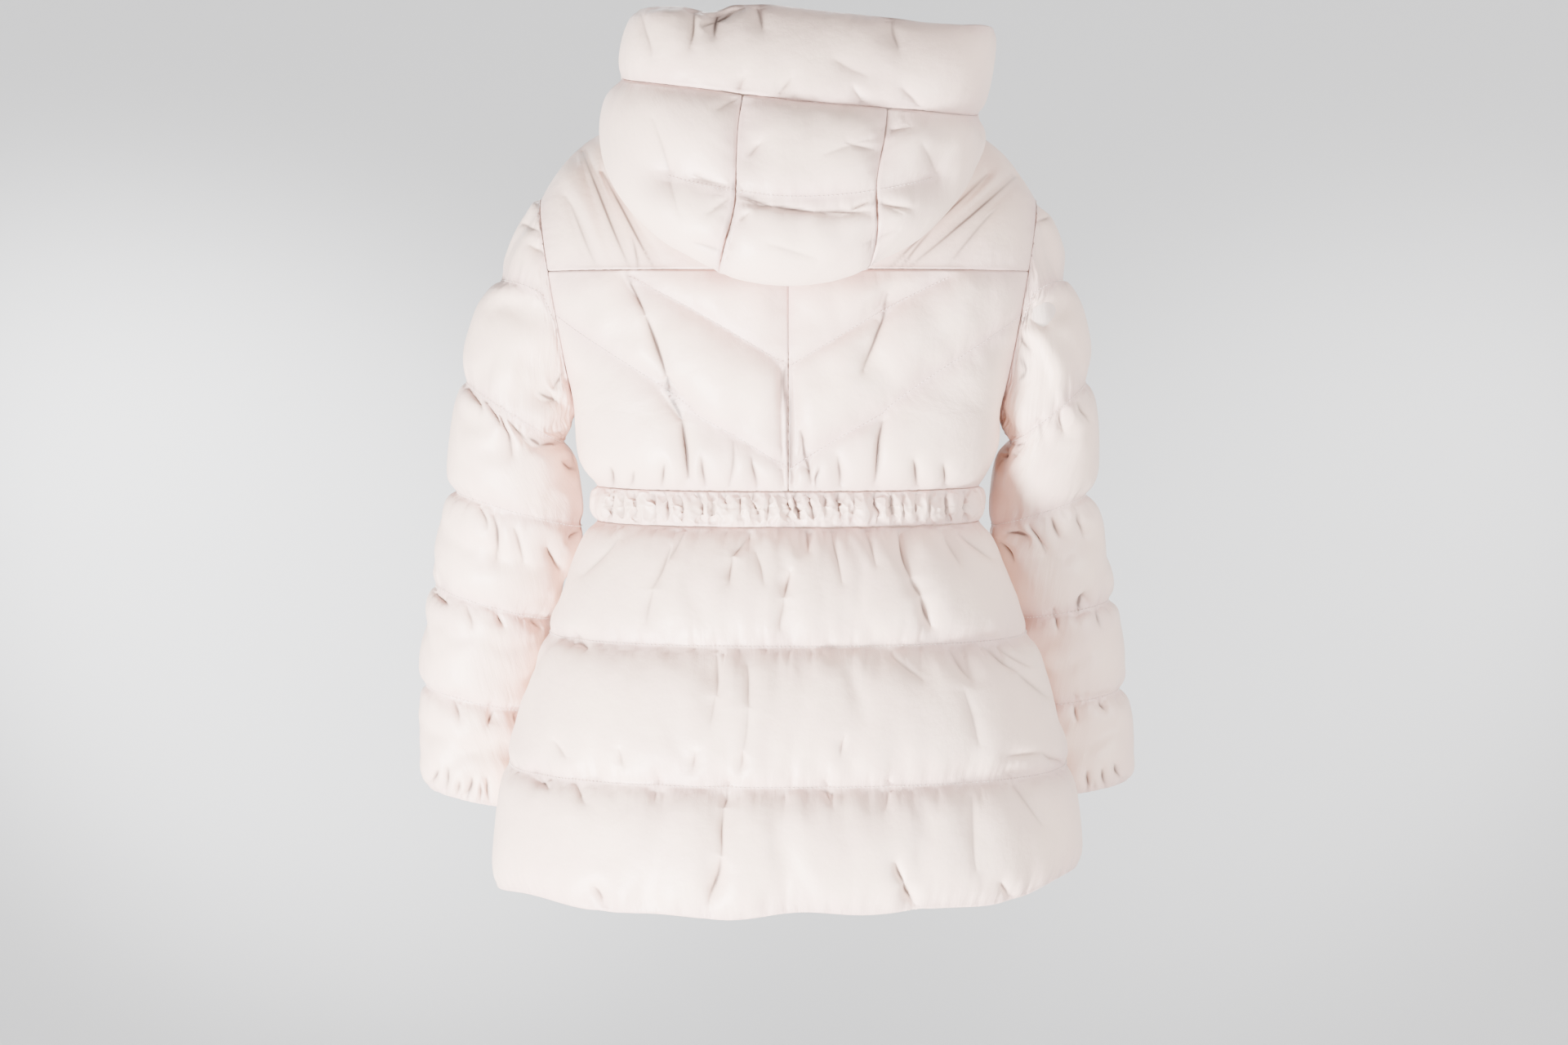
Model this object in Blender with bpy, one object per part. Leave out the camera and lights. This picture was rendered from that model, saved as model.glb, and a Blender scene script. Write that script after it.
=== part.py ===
"""Down jacket held in its worn, hollow form, with its hood folded down on the back.

Metres, +Z up. The front faces -Y, the back +Y and the wearer's left side +X.
The origin is the middle of the wearer's shoulders, level with the nape.
Every padded piece is a wall: a plain inside, and an outside raised between its stitched lines.
"""
import math

import bmesh
import bpy
import numpy as np

# Seams and walls
GAP = 0.0003
SEAM_WALL = 0.004
NECK_WALL = 0.006
PLAN_POWER = 2.3

# Heights of the sewn lines
YOKE_Z = -0.105
UNDERARM_Z = -0.235
WAIST_TOP_Z = -0.307
WAIST_LOW_Z = -0.340
SKIRT_LINES_Z = (-0.340, -0.446, -0.570, -0.684)

# Heights at which the zip's middle line is worked out, from the hem to the chest
ZIP_HEIGHTS = (-0.680, -0.650, -0.610, -0.570, -0.510, -0.446, -0.395, -0.340, -0.307, -0.280, -0.260,
               -0.235, -0.200, -0.170, -0.140, -0.120)

# How far the hem rises on the wearer's right
HEM_TILT = 0.017

# Outside of the body at its sewn lines: height, half width, back depth, front depth
BODY = (
    (-0.105, 0.2227, 0.150, 0.117),
    (-0.170, 0.2120, 0.152, 0.142),
    (-0.235, 0.2012, 0.144, 0.148),
    (-0.280, 0.1910, 0.133, 0.139),
    (-0.307, 0.1820, 0.124, 0.130),
    (-0.340, 0.1820, 0.124, 0.130),
    (-0.446, 0.2270, 0.158, 0.155),
    (-0.570, 0.2660, 0.188, 0.175),
    (-0.684, 0.2795, 0.204, 0.190),
)

# Armhole: an egg in the plane x = ARMHOLE_X + ARMHOLE_LEAN * z
ARMHOLE_X = 0.240
ARMHOLE_LEAN = 0.165
ARMHOLE_HALF_DEPTH = 0.076
ARMHOLE_RISE = 0.070
ARMHOLE_DROP = YOKE_Z - UNDERARM_Z

# Neckline: inside half width, depths, and its heights at the back, side and front
NECK_HALF = 0.083
NECK_BACK = 0.062
NECK_FRONT = 0.082
NECK_BACK_Z = 0.027
NECK_SIDE_Z = 0.045
NECK_FRONT_Z = 0.009
NECK_SHARE = 0.42
NECK_ARC = math.radians(35)
SHOULDER_BOW = 0.031
SHOULDER_SKEW = 1.6

# Filling: how far the outside rises over its stitched lines
BACK_LOFT = 0.018
SIDE_LOFT = 0.007
FRONT_LOFT = 0.014
FRONT_TOP_LOFT = 0.006
SLEEVE_LOFT = 0.012
SLEEVE_INSIDE_LOFT = 0.005
YOKE_LOFT = 0.005
BAND_LOFT = 0.007
PUCKER = 0.0030
GATHER = 0.0045

# Chevrons on the upper back: height at the centre seam and rise per metre across
CHEVRON_LOW = (-0.287, 0.655)
CHEVRON_HIGH = (-0.193, 0.550)
CHEVRON_CLEAR = 0.004

# Sleeve lines, outside: half width out, height out, half width in, height in, middle y, half depth
SLEEVE_LEFT = (
    (0.307, -0.209, 0.2150, -0.266, -0.008, 0.067),
    (0.320, -0.314, 0.2000, -0.348, -0.030, 0.062),
    (0.344, -0.408, 0.2330, -0.440, -0.060, 0.056),
    (0.357, -0.508, 0.2540, -0.533, -0.085, 0.053),
    (0.357, -0.612, 0.2640, -0.632, -0.100, 0.046),
)
SLEEVE_RIGHT = (
    (0.284, -0.209, 0.2130, -0.266, -0.010, 0.066),
    (0.288, -0.318, 0.1980, -0.347, -0.042, 0.061),
    (0.316, -0.424, 0.2230, -0.441, -0.085, 0.055),
    (0.330, -0.515, 0.2420, -0.531, -0.112, 0.051),
    (0.341, -0.609, 0.2540, -0.624, -0.128, 0.045),
)
SHOULDER_BULGE = 0.007

# Hood, inside of its wall, from the neckline to the brim's edge:
# half width, back depth, front depth, height at back, side and front, plan power, tilt to the left
HOOD = (
    (0.0830, 0.062, 0.082, 0.027, 0.045, 0.009, 2.0, 0.00),
    (0.0880, 0.073, 0.086, 0.044, 0.061, 0.022, 2.0, 0.00),
    (0.1010, 0.100, 0.090, 0.046, 0.069, 0.030, 2.2, 0.00),
    (0.1180, 0.140, 0.093, -0.006, 0.067, 0.036, 2.5, 0.00),
    (0.1350, 0.182, 0.097, -0.074, 0.062, 0.040, 2.8, 0.00),
    (0.1470, 0.208, 0.100, -0.110, 0.057, 0.043, 2.8, 0.00),
    (0.1560, 0.229, 0.102, -0.082, 0.054, 0.046, 2.9, 0.01),
    (0.1620, 0.236, 0.104, -0.044, 0.053, 0.049, 3.0, 0.03),
    (0.1645, 0.232, 0.105, -0.001, 0.057, 0.053, 3.2, 0.06),
    (0.1630, 0.216, 0.105, 0.039, 0.067, 0.059, 3.8, 0.10),
    (0.1610, 0.206, 0.101, 0.081, 0.094, 0.069, 5.0, 0.09),
    (0.1550, 0.180, 0.094, 0.116, 0.121, 0.080, 6.0, 0.06),
)
BRIM_STATION = 9
HOOD_STITCH_STATION = 7
HOOD_INNER_WALL = 0.007
HOOD_LOFT = 0.013
HOOD_REST = 0.017
HOOD_OVER_YOKE = 0.010
BRIM_LOFT = 0.011
HOOD_SHEAR = -0.13
HOOD_SHEAR_FROM_Z = -0.03
GUSSET_AT_NECK = math.radians(30)
GUSSET_AT_BRIM = math.radians(16.5)
GUSSET_PINCH = math.radians(2)
GUSSET_PINCH_STATION = 7
GUSSET_TWIST = math.radians(-3.6)
GUSSET_GAP = 0.0011

# Front zip
TAPE_HALF = 0.0055
TAPE_WALL = 0.0016
FRONT_EDGE_X = TAPE_HALF + GAP
SLIDER_Z = 0.062
SLIDER_SIZE = (0.0080, 0.0030, 0.0120)
CROWN_LENGTH = 0.0060
CROWN_BAR = 0.0014
CROWN_WIDTH = 0.0016
CROWN_ROOT = 0.0006
PULL_PLAY = 0.0006
PULL_SIZE = (0.0062, 0.0012, 0.0270)
PULL_BAR = 0.0014
PULL_WINDOW = (0.0030, 0.0039)

# Rows across one padded channel, as shares of it, closest near the stitches
CHANNEL = (0.0, 0.08, 0.25, 0.5, 0.75, 0.92, 1.0)
CHANNEL_TO_UNDERARM = (0.0, 0.08, 0.25, 0.46, 0.74, 0.92, 1.0)
CHANNEL_FRONT = (0.0, 0.08, 0.25, 0.5, 0.7317, 0.92, 1.0)
CHANNEL_SLEEVE = (0.0, 0.12, 0.5, 0.88, 1.0)

# Long soft folds on the back: x, z at each end, half width, depth
FOLDS = (
    (0.154, -0.115, 0.136, -0.147, 0.010, 0.005),
    (0.136, -0.147, 0.119, -0.207, 0.010, 0.007),
    (0.119, -0.207, 0.096, -0.292, 0.010, 0.008),
    (-0.097, -0.126, -0.073, -0.198, 0.010, 0.006),
    (-0.090, -0.245, -0.084, -0.300, 0.010, 0.007),
    (0.002, -0.200, -0.006, -0.296, 0.010, 0.007),
    (0.200, -0.010, 0.150, -0.095, 0.012, 0.003),
    (0.172, -0.006, 0.128, -0.090, 0.012, 0.003),
    (-0.204, -0.012, -0.112, -0.095, 0.012, 0.003),
    (0.052, -0.590, 0.072, -0.690, 0.012, 0.008),
    (-0.106, -0.352, -0.120, -0.430, 0.012, 0.006),
    (0.010, -0.352, 0.000, -0.405, 0.012, 0.006),
    (0.080, -0.352, 0.110, -0.400, 0.012, 0.005),
)

# Colours: red, green, blue, roughness, metallic
SHELL = (0.86, 0.78, 0.73, 0.45, 0.0)
SHELL_HOOD = (0.87, 0.79, 0.74, 0.45, 0.0)
BAND = (0.84, 0.75, 0.71, 0.50, 0.0)
TAPE = (0.80, 0.72, 0.68, 0.70, 0.0)
METAL = (0.62, 0.60, 0.57, 0.30, 1.0)


def lerp(start, end, share):
    return start + (end - start) * share


def smooth(share):
    share = np.clip(share, 0.0, 1.0)
    return share * share * (3 - 2 * share)


def unit(vectors):
    return vectors / np.linalg.norm(vectors, axis=-1, keepdims=True)


def stack(x, y, z):
    return np.stack(np.broadcast_arrays(x, y, z), axis=-1)


def body_size(z, column):
    """Reads a column of BODY at any height."""
    heights = [row[0] for row in reversed(BODY)]
    values = [row[column] for row in reversed(BODY)]
    return np.interp(z, heights, values)


def plan_radius(angle, half_width, depth, power=PLAN_POWER):
    """Distance from the Z axis to a rounded plan, at an angle from the Y axis."""
    across = np.abs(np.sin(angle)) / half_width
    along = np.abs(np.cos(angle)) / depth
    return (across ** power + along ** power) ** (-1 / power)


def plan_normal(x, y, half_width, depth, power=PLAN_POWER):
    across = np.sign(x) * (np.abs(x) / half_width) ** (power - 1) / half_width
    along = np.sign(y) * (np.abs(y) / depth) ** (power - 1) / depth
    return unit(stack(across, along, np.zeros_like(across)))


def puff(share, power=0.55):
    """Height of the filling across a channel, 0 at its stitches and 1 between them."""
    return np.clip(np.sin(math.pi * np.clip(share, 0, 1)), 0, 1) ** power


def fold_depth(x, z):
    """How deep the long folds of the back press in at a place seen from behind."""
    depth = np.zeros_like(x)
    for x0, z0, x1, z1, half_width, deepest in FOLDS:
        span = np.array((x1 - x0, z1 - z0))
        share = ((x - x0) * span[0] + (z - z0) * span[1]) / span.dot(span)
        share = np.clip(share, 0, 1)
        away = np.hypot(x - x0 - share * span[0], z - z0 - share * span[1])
        depth = np.maximum(depth, deepest * np.exp(-((away / half_width) ** 2)))
    return depth


def new_material(name, colour):
    """A new material of the given colour, for one sub-part."""
    red, green, blue, roughness, metallic = colour
    material = bpy.data.materials.new(name)
    material.use_nodes = True
    shader = material.node_tree.nodes["Principled BSDF"]
    shader.inputs["Base Color"].default_value = (red, green, blue, 1)
    shader.inputs["Roughness"].default_value = roughness
    shader.inputs["Metallic"].default_value = metallic
    return material


def add_object(name, mesh_builder, colour):
    bmesh.ops.recalc_face_normals(mesh_builder, faces=mesh_builder.faces)
    mesh = bpy.data.meshes.new(name)
    mesh_builder.to_mesh(mesh)
    mesh_builder.free()
    mesh.shade_smooth()
    mesh.set_sharp_from_angle(angle=math.radians(40))
    mesh.materials.append(new_material(name, colour))
    piece = bpy.data.objects.new(name, mesh)
    bpy.context.scene.collection.objects.link(piece)
    return piece


def wall(name, inside, outside, colour, tube=False):
    """Closes a wall between two grids of points; the inside uses every second row and column."""
    builder = bmesh.new()
    coarse = inside[::2, ::2]
    outer = [[builder.verts.new(point) for point in row] for row in outside]
    inner = [[builder.verts.new(point) for point in row] for row in coarse]

    def skin(points):
        columns = len(points[0])
        for low, high in zip(points, points[1:]):
            for left in range(columns if tube else columns - 1):
                right = (left + 1) % columns
                builder.faces.new((low[left], low[right], high[right], high[left]))

    def rim(fine, rough):
        for index in range(len(rough) - 1):
            start, middle, end = fine[2 * index:2 * index + 3]
            builder.faces.new((rough[index], start, middle))
            builder.faces.new((rough[index], middle, rough[index + 1]))
            builder.faces.new((rough[index + 1], middle, end))

    skin(outer)
    skin(inner)
    for row in (0, -1):
        extra = [outer[row][0]] if tube else []
        inner_extra = [inner[row][0]] if tube else []
        rim(outer[row] + extra, inner[row] + inner_extra)
    if not tube:
        for column in (0, -1):
            rim([row[column] for row in outer], [row[column] for row in inner])
    return add_object(name, builder, colour)


def channel_rows(lines, shares):
    """Rows as (channel, share): every stitched line once, and the rows between them."""
    rows = [(0, 0.0)]
    for channel in range(lines):
        rows += [(channel, share) for share in shares[channel][1:]]
    return rows


def body_ring(z, angle, inset=0.0):
    """Points round the body at a height; angle 0 is the middle of the back."""
    half_width = body_size(z, 1) - inset
    depth = np.where(np.cos(angle) >= 0, body_size(z, 2), body_size(z, 3)) - inset
    radius = plan_radius(angle, half_width, depth)
    x = radius * np.sin(angle)
    y = radius * np.cos(angle)
    return stack(x, y, z), plan_normal(x, y, half_width, depth)


def loft_round(angle):
    """Filling height at an angle round the body: full at the back, less at the sides."""
    middle = np.where(np.cos(angle) >= 0, BACK_LOFT, FRONT_LOFT)
    return SIDE_LOFT + (middle - SIDE_LOFT) * np.cos(angle) ** 2


def edge_fade(distance, reach):
    """0 on a sewn edge, 1 well away from it."""
    return 1 - np.exp(-np.abs(distance) / reach)


def hem_drop(angle):
    """The hem isn't quite level: it rises on the wearer's right, and dips here and there."""
    tilt = HEM_TILT * np.clip(-np.sin(angle), 0, 1) ** 3
    return tilt + 0.0025 * np.sin(5 * angle + 2.6) + 0.002 * np.sin(11 * angle + 2.0)


def skirt(name, start, end, columns, front_edge=0):
    """One flared padded panel below the band, between two angles round the body."""
    angle = np.linspace(start, end, columns + 1)[None, :]
    rows = channel_rows(3, (CHANNEL,) * 3)
    line = np.array([row[0] for row in rows])[:, None]
    share = np.array([row[1] for row in rows])[:, None]
    top = np.array(SKIRT_LINES_Z)[line]
    low = np.array(SKIRT_LINES_Z)[line + 1]
    z = lerp(top, low, share) + 0 * angle
    z[0] -= GAP / 2
    z += np.where(line == 2, share, 0.0) * hem_drop(angle)
    base, normal = body_ring(z, angle + 0 * z)
    inside, _ = body_ring(z, angle + 0 * z, SEAM_WALL)
    side = edge_fade(np.abs(np.sin(angle)) - 1.0, 0.02) * 0.4 + 0.6
    zip_edge = edge_fade(angle - front_edge, 0.10) if front_edge else 1.0
    pinch = np.where(np.arange(columns + 1) % 2 == 1, 1.0, -1.0)[None, :]
    stitch = line + (share > 0.5)
    uneven = 0.65 + 0.35 * np.sin(9.7 * angle + 2.3 * stitch)
    ripple = np.where(stitch == 0, GATHER, PUCKER) * pinch * uneven
    near = puff(share, 1.0) * (1 - puff(share, 1.0)) * 4
    loft = loft_round(angle) * puff(share) * side * zip_edge
    if not front_edge:
        loft = loft - fold_depth(base[..., 0], z) * puff(share)
    loft = np.maximum(loft + ripple * near * zip_edge, 0.0)
    outside = base + normal * loft[..., None]
    if front_edge:
        settle_front_edge(inside, outside)
    wall(name, inside, outside, SHELL)


def settle_front_edge(inside, outside):
    """Sets the edge beside the zip on its plane."""
    for grid in (inside, outside):
        side = np.sign(grid[0, 1, 0])
        grid[:, 0, 0] = side * FRONT_EDGE_X


def band(name, start, end, columns, front_edge=False):
    """A stretch of the gathered elastic band."""
    angle = np.linspace(start, end, columns + 1)[None, :]
    share = np.linspace(0, 1, 5)[:, None]
    z = lerp(WAIST_TOP_Z - GAP / 2, WAIST_LOW_Z + GAP / 2, share) + 0 * angle
    base, normal = body_ring(z, angle + 0 * z)
    inside, _ = body_ring(z, angle + 0 * z, SEAM_WALL)
    gather = np.where(np.arange(columns + 1) % 2 == 1, 1.0, 0.0)[None, :]
    uneven = 0.75 + 0.25 * np.sin(7.3 * angle + 0.5)
    loft = BAND_LOFT * puff(share, 0.7) * gather * uneven
    outside = base + normal * loft[..., None]
    if front_edge:
        settle_front_edge(inside, outside)
    wall(name, inside, outside, BAND)


def armhole_edge(z, inset):
    """Where the body's wall meets the armhole, or the side seam below it: x and y."""
    depth = ARMHOLE_HALF_DEPTH - inset
    drop = ARMHOLE_DROP - inset
    fall = np.clip((YOKE_Z - z) / drop, 0, 1)
    y = depth * np.sqrt(np.clip(1 - fall ** 2, 0, 1))
    above = z > UNDERARM_Z + inset
    plane = ARMHOLE_X + ARMHOLE_LEAN * z - GAP / 2
    x = np.where(above, plane, body_size(z, 1) - inset)
    return x, np.maximum(np.where(above, y, 0.0), GAP / 2)


def chest_section(z, across, back, inset):
    """Level sections from the middle to the armhole or the side seam; across runs 0 to 1."""
    lift = np.interp(z, (WAIST_TOP_Z, UNDERARM_Z, YOKE_Z), (0, 1, 0)) * inset * across ** 2
    z = z + lift
    edge_x, edge_y = armhole_edge(z, inset)
    depth = body_size(z, 2 if back else 3) - inset
    half_width = edge_x / (1 - (edge_y / depth) ** PLAN_POWER) ** (1 / PLAN_POWER)
    first = 0.0 if back else np.arcsin(FRONT_EDGE_X / depth)
    angle = lerp(first, np.arctan2(edge_x, edge_y), across)
    radius = plan_radius(angle, half_width, depth)
    x = radius * np.sin(angle)
    y = radius * np.cos(angle)
    return stack(x, y, z), plan_normal(x, y, half_width, depth)


def neck_ring(angle, inset=0.0):
    """The neckline; angle 0 is the nape. Its halves lie on two planes that meet at the sides."""
    half_width = NECK_HALF + inset
    depth = np.where(np.cos(angle) >= 0, NECK_BACK, NECK_FRONT) + inset
    radius = plan_radius(angle, half_width, depth, 2.0)
    x = radius * np.sin(angle)
    y = radius * np.cos(angle)
    back = NECK_SIDE_Z + (NECK_BACK_Z - NECK_SIDE_Z) * y / NECK_BACK
    front = NECK_SIDE_Z + (NECK_FRONT_Z - NECK_SIDE_Z) * -y / NECK_FRONT
    return stack(x, y, np.where(y >= 0, back, front))


def top_edge(across, back, inset):
    """Neckline, then the shoulder seam out to the armhole; across runs 0 to 1."""
    turn = math.pi / 2
    share = np.clip(across / NECK_SHARE, 0, 1)
    first = 0.0 if back else np.arcsin(FRONT_EDGE_X / NECK_FRONT)
    angle = lerp(first, turn, share)
    ring = neck_ring(angle if back else math.pi - angle, NECK_WALL - inset * NECK_WALL / SEAM_WALL)
    tip_z = YOKE_Z + ARMHOLE_RISE - inset
    tip_x = ARMHOLE_X + ARMHOLE_LEAN * tip_z - GAP / 2
    out = np.clip((across - NECK_SHARE) / (1 - NECK_SHARE), 0, 1)
    x = lerp(ring[..., 0], tip_x, out)
    y = np.maximum(np.abs(ring[..., 1]), GAP / 2)
    raised = SHOULDER_BOW * np.sin(math.pi * out ** SHOULDER_SKEW)
    z = lerp(ring[..., 2] - GAP / 2, tip_z, out) + raised
    return stack(x, y, z)


def shoulder_arc(rise, across, back, inset, base_z):
    """Rows from the chest's top section over to the shoulder seam and neckline; rise runs 0 to 1."""
    start, start_normal = chest_section(YOKE_Z + 0 * rise * across, across + 0 * rise, back, inset)
    end = top_edge(across + 0 * rise, back, inset)
    spread = smooth((across - NECK_SHARE) / (1 - NECK_SHARE))
    furthest = lerp(NECK_ARC, math.pi / 2, spread)
    arc = furthest * rise
    climb = np.sin(arc) / np.sin(furthest)
    level = (np.cos(arc) - np.cos(furthest)) / (1 - np.cos(furthest))
    x = lerp(start[..., 0], end[..., 0], climb)
    y = end[..., 1] + (start[..., 1] - end[..., 1]) * level
    z = lerp(base_z, end[..., 2], climb)
    return stack(x, y, z), start_normal


def grid_normals(points):
    """Normals of a grid of points, by differences along its rows and columns."""
    along = np.gradient(points, axis=0)
    across = np.gradient(points, axis=1)
    return unit(np.cross(across, along))


def step_normals(surface, stations, angles, step=0.002):
    """Outward normals of the hood's inside surface, by small steps along and round it."""
    along = surface(stations + step, angles) - surface(stations - step, angles)
    across = surface(stations, angles + step) - surface(stations, angles - step)
    return unit(np.cross(along, across))


def behind_armhole(grid):
    """Keeps the body's points, worked out for the left side, on their side of the armhole."""
    limit = ARMHOLE_X + ARMHOLE_LEAN * grid[..., 2] - GAP / 2
    grid[..., 0] = np.minimum(grid[..., 0], limit)


def side_weight(z):
    """1 beside the armhole, 0 along the side seam below it."""
    return smooth((z - UNDERARM_Z + 0.05) / 0.045)


def face_side(points, side, back):
    """Turns points worked out for the wearer's left back to the side and face asked for."""
    turned = points.copy()
    turned[..., 0] *= side
    turned[..., 1] *= 1 if back else -1
    return turned


def upper_back(name, side, columns=14):
    """One half of the padded upper back, with its two stitched chevrons."""
    across = np.linspace(0, 1, columns + 1)[None, :]
    rows = channel_rows(3, (CHANNEL_TO_UNDERARM, CHANNEL, CHANNEL))
    channel = np.array([row[0] for row in rows])[:, None]
    share = np.array([row[1] for row in rows])[:, None]
    span = across * ARMHOLE_X * 0.9
    low = CHEVRON_LOW[0] + CHEVRON_LOW[1] * span
    high = np.minimum(CHEVRON_HIGH[0] + CHEVRON_HIGH[1] * span, YOKE_Z - CHEVRON_CLEAR)
    low = np.minimum(low, high - CHEVRON_CLEAR * 3)
    bounds = np.concatenate([0 * across + WAIST_TOP_Z + GAP / 2, low, high, 0 * across + YOKE_Z - GAP / 2])
    lower = bounds[channel[:, 0]]
    upper = bounds[channel[:, 0] + 1]
    z = lerp(lower, upper, share)
    base, normal = chest_section(z, across, True, 0.0)
    inside, _ = chest_section(z, across, True, SEAM_WALL)
    centre = 0.15 + 0.85 * edge_fade(base[..., 0], 0.014)
    deep = SIDE_LOFT + (BACK_LOFT - SIDE_LOFT) * np.cos(across * math.pi / 2)
    room = edge_fade(upper - lower, 0.030)
    armhole = 1 - side_weight(z) * np.exp(-(1 - across) * 0.24 / (2 * BACK_LOFT))
    loft = deep * puff(share) * centre * room * armhole
    loft = loft - fold_depth(base[..., 0] * side, z) * puff(share) * armhole
    outside = base + normal * np.maximum(loft, 0)[..., None]
    shift = np.array((GAP / 2, 0, 0)) * (1 - across[..., None])
    inside = inside + shift
    outside = outside + shift
    behind_armhole(inside)
    behind_armhole(outside)
    inside = face_side(inside, side, True)
    outside = face_side(outside, side, True)
    wall(name, inside, outside, SHELL)


def yoke(name="back_yoke", columns=24):
    """The plain panel over the shoulder blades, from armhole to armhole."""
    signed = np.linspace(-1, 1, columns + 1)[None, :]
    across = np.abs(signed)
    rise = np.linspace(0, 1, 9)[:, None]
    inside, _ = shoulder_arc(rise, across, True, SEAM_WALL, YOKE_Z + GAP / 2)
    base, _ = shoulder_arc(rise, across, True, 0.0, YOKE_Z + GAP / 2)
    for grid in (inside, base):
        grid[..., 0] *= np.where(signed < 0, -1, 1)
    normal = -grid_normals(base)
    loft = YOKE_LOFT - 0.8 * fold_depth(base[..., 0], base[..., 2])
    loft = np.maximum(loft, 0) * puff(rise, 1.0) * edge_fade(1 - across, 0.15)
    outside = base + normal * loft[..., None]
    wall(name, inside, outside, SHELL)


def upper_front(name, side, columns=12):
    """One padded front, from the band to the shoulder seam and the neckline."""
    across = np.linspace(0, 1, columns + 1)[None, :]
    middle_z = lerp(WAIST_TOP_Z, YOKE_Z, 0.5)
    grids = []
    lofts = []
    for low, high, shares in ((WAIST_TOP_Z + GAP / 2, middle_z, CHANNEL_FRONT), (middle_z, YOKE_Z, CHANNEL)):
        share = np.array(shares)[:, None]
        z = lerp(low, high, share) + 0 * across
        inside, _ = chest_section(z, across, False, SEAM_WALL)
        base, normal = chest_section(z, across, False, 0.0)
        armhole = 1 - side_weight(z) * np.exp(-(1 - across) * 0.24 / (2 * FRONT_LOFT))
        deep = SIDE_LOFT + (FRONT_LOFT - SIDE_LOFT) * np.cos(across * math.pi / 2)
        loft = deep * puff(share) * armhole * edge_fade(across, 0.10)
        grids.append((inside, base + normal * loft[..., None]))
    rise = np.array(CHANNEL)[:, None]
    inside, _ = shoulder_arc(rise, across, False, SEAM_WALL, YOKE_Z)
    base, _ = shoulder_arc(rise, across, False, 0.0, YOKE_Z)
    normal = -grid_normals(base)
    loft = FRONT_TOP_LOFT * puff(rise, 1.0) * edge_fade(1 - across, 0.2) * edge_fade(across, 0.10)
    grids.append((inside, base + normal * loft[..., None]))
    inside = np.concatenate([grids[0][0], grids[1][0][1:], grids[2][0][1:]])
    outside = np.concatenate([grids[0][1], grids[1][1][1:], grids[2][1][1:]])
    behind_armhole(inside)
    behind_armhole(outside)
    inside = face_side(inside, side, False)
    outside = face_side(outside, side, False)
    settle_front_edge(inside, outside)
    wall(name, inside, outside, SHELL)


def ellipse_normal(turn, half_across, half_depth, axis):
    """Outward normal of a ring in its own plane, spanned by axis and Y."""
    across = np.cos(turn) / half_across
    along = np.sin(turn) / half_depth
    length = np.hypot(across, along)
    return (across / length)[..., None] * axis + (along / length)[..., None] * np.array((0, 1.0, 0))


def armhole_ring(turn, inset):
    """The armhole as a ring; turn 0 is the shoulder and half a turn the underarm."""
    rise = np.where(np.cos(turn) >= 0, ARMHOLE_RISE, ARMHOLE_DROP) - inset
    y = (ARMHOLE_HALF_DEPTH - inset) * np.sin(turn)
    z = YOKE_Z + rise * np.cos(turn)
    x = ARMHOLE_X + ARMHOLE_LEAN * z + GAP / 2
    axis = unit(np.array((ARMHOLE_LEAN, 0.0, 1.0)))
    return stack(x, y, z), ellipse_normal(turn, rise, ARMHOLE_HALF_DEPTH - inset, axis)


def sleeve_ring(row, turn, inset):
    """A stitched ring of the sleeve from a row of its table."""
    out_x, out_z, in_x, in_z, middle_y, half_depth = row
    middle = np.array(((out_x + in_x) / 2, middle_y, (out_z + in_z) / 2))
    reach = np.array(((out_x - in_x) / 2, 0.0, (out_z - in_z) / 2))
    half = np.linalg.norm(reach)
    axis = reach / half
    ring = middle + ((half - inset) * np.cos(turn))[..., None] * axis
    ring = ring + ((half_depth - inset) * np.sin(turn))[..., None] * np.array((0, 1.0, 0))
    return ring, ellipse_normal(turn, half, half_depth, axis)


def sleeve(name, side, table, columns=20):
    """A padded sleeve: a fan at the shoulder, then stitched rings down to the cuff's edge."""
    turn = np.linspace(0, 2 * math.pi, columns + 1)[:-1]
    first = 0.12 + 0.36 * ((1 + np.cos(turn)) / 2) ** 1.2
    lofty = lerp(SLEEVE_INSIDE_LOFT, SLEEVE_LOFT, smooth((1.2 + np.cos(turn)) / 1.6))
    rings = [armhole_ring(turn, 0.0)] + [sleeve_ring(row, turn, 0.0) for row in table]
    insets = [armhole_ring(turn, SEAM_WALL)] + [sleeve_ring(row, turn, SEAM_WALL) for row in table]
    inside_rows = []
    outside_rows = []
    for segment in range(len(table) + 1):
        top = max(segment - 1, 0)
        start = first if segment == 1 else 0.0
        end = first if segment == 0 else 1.0
        for share in CHANNEL_SLEEVE[(1 if segment else 0):]:
            along = (start + (end - start) * share) * np.ones_like(turn)
            weight = along[:, None]
            base = lerp(rings[top][0], rings[top + 1][0], weight)
            normal = unit(lerp(rings[top][1], rings[top + 1][1], weight))
            inner = lerp(insets[top][0], insets[top + 1][0], weight)
            if top == 0:
                crown = SHOULDER_BULGE * np.sin(math.pi * along) * np.clip(np.cos(turn), 0, 1)
                base = base + normal * crown[:, None]
                inner = inner + normal * crown[:, None]
            length = np.linalg.norm(rings[top + 1][0] - rings[top][0], axis=-1)
            length = length * (end - start)
            room = 1 - np.exp(-length / 0.03)
            ripple = 1 + 0.12 * np.sin(5 * turn + 1.9 * segment)
            loft = lofty * room * puff(share) * ripple
            outside_rows.append(base + normal * loft[:, None])
            inside_rows.append(inner)
    inside = np.array(inside_rows)
    outside = np.array(outside_rows)
    for grid in (inside, outside):
        limit = ARMHOLE_X + ARMHOLE_LEAN * grid[..., 2] + GAP / 2
        grid[..., 0] = np.maximum(grid[..., 0], limit)
    inside = face_side(inside, side, True)
    outside = face_side(outside, side, True)
    wall(name, inside, outside, SHELL, tube=True)


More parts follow.
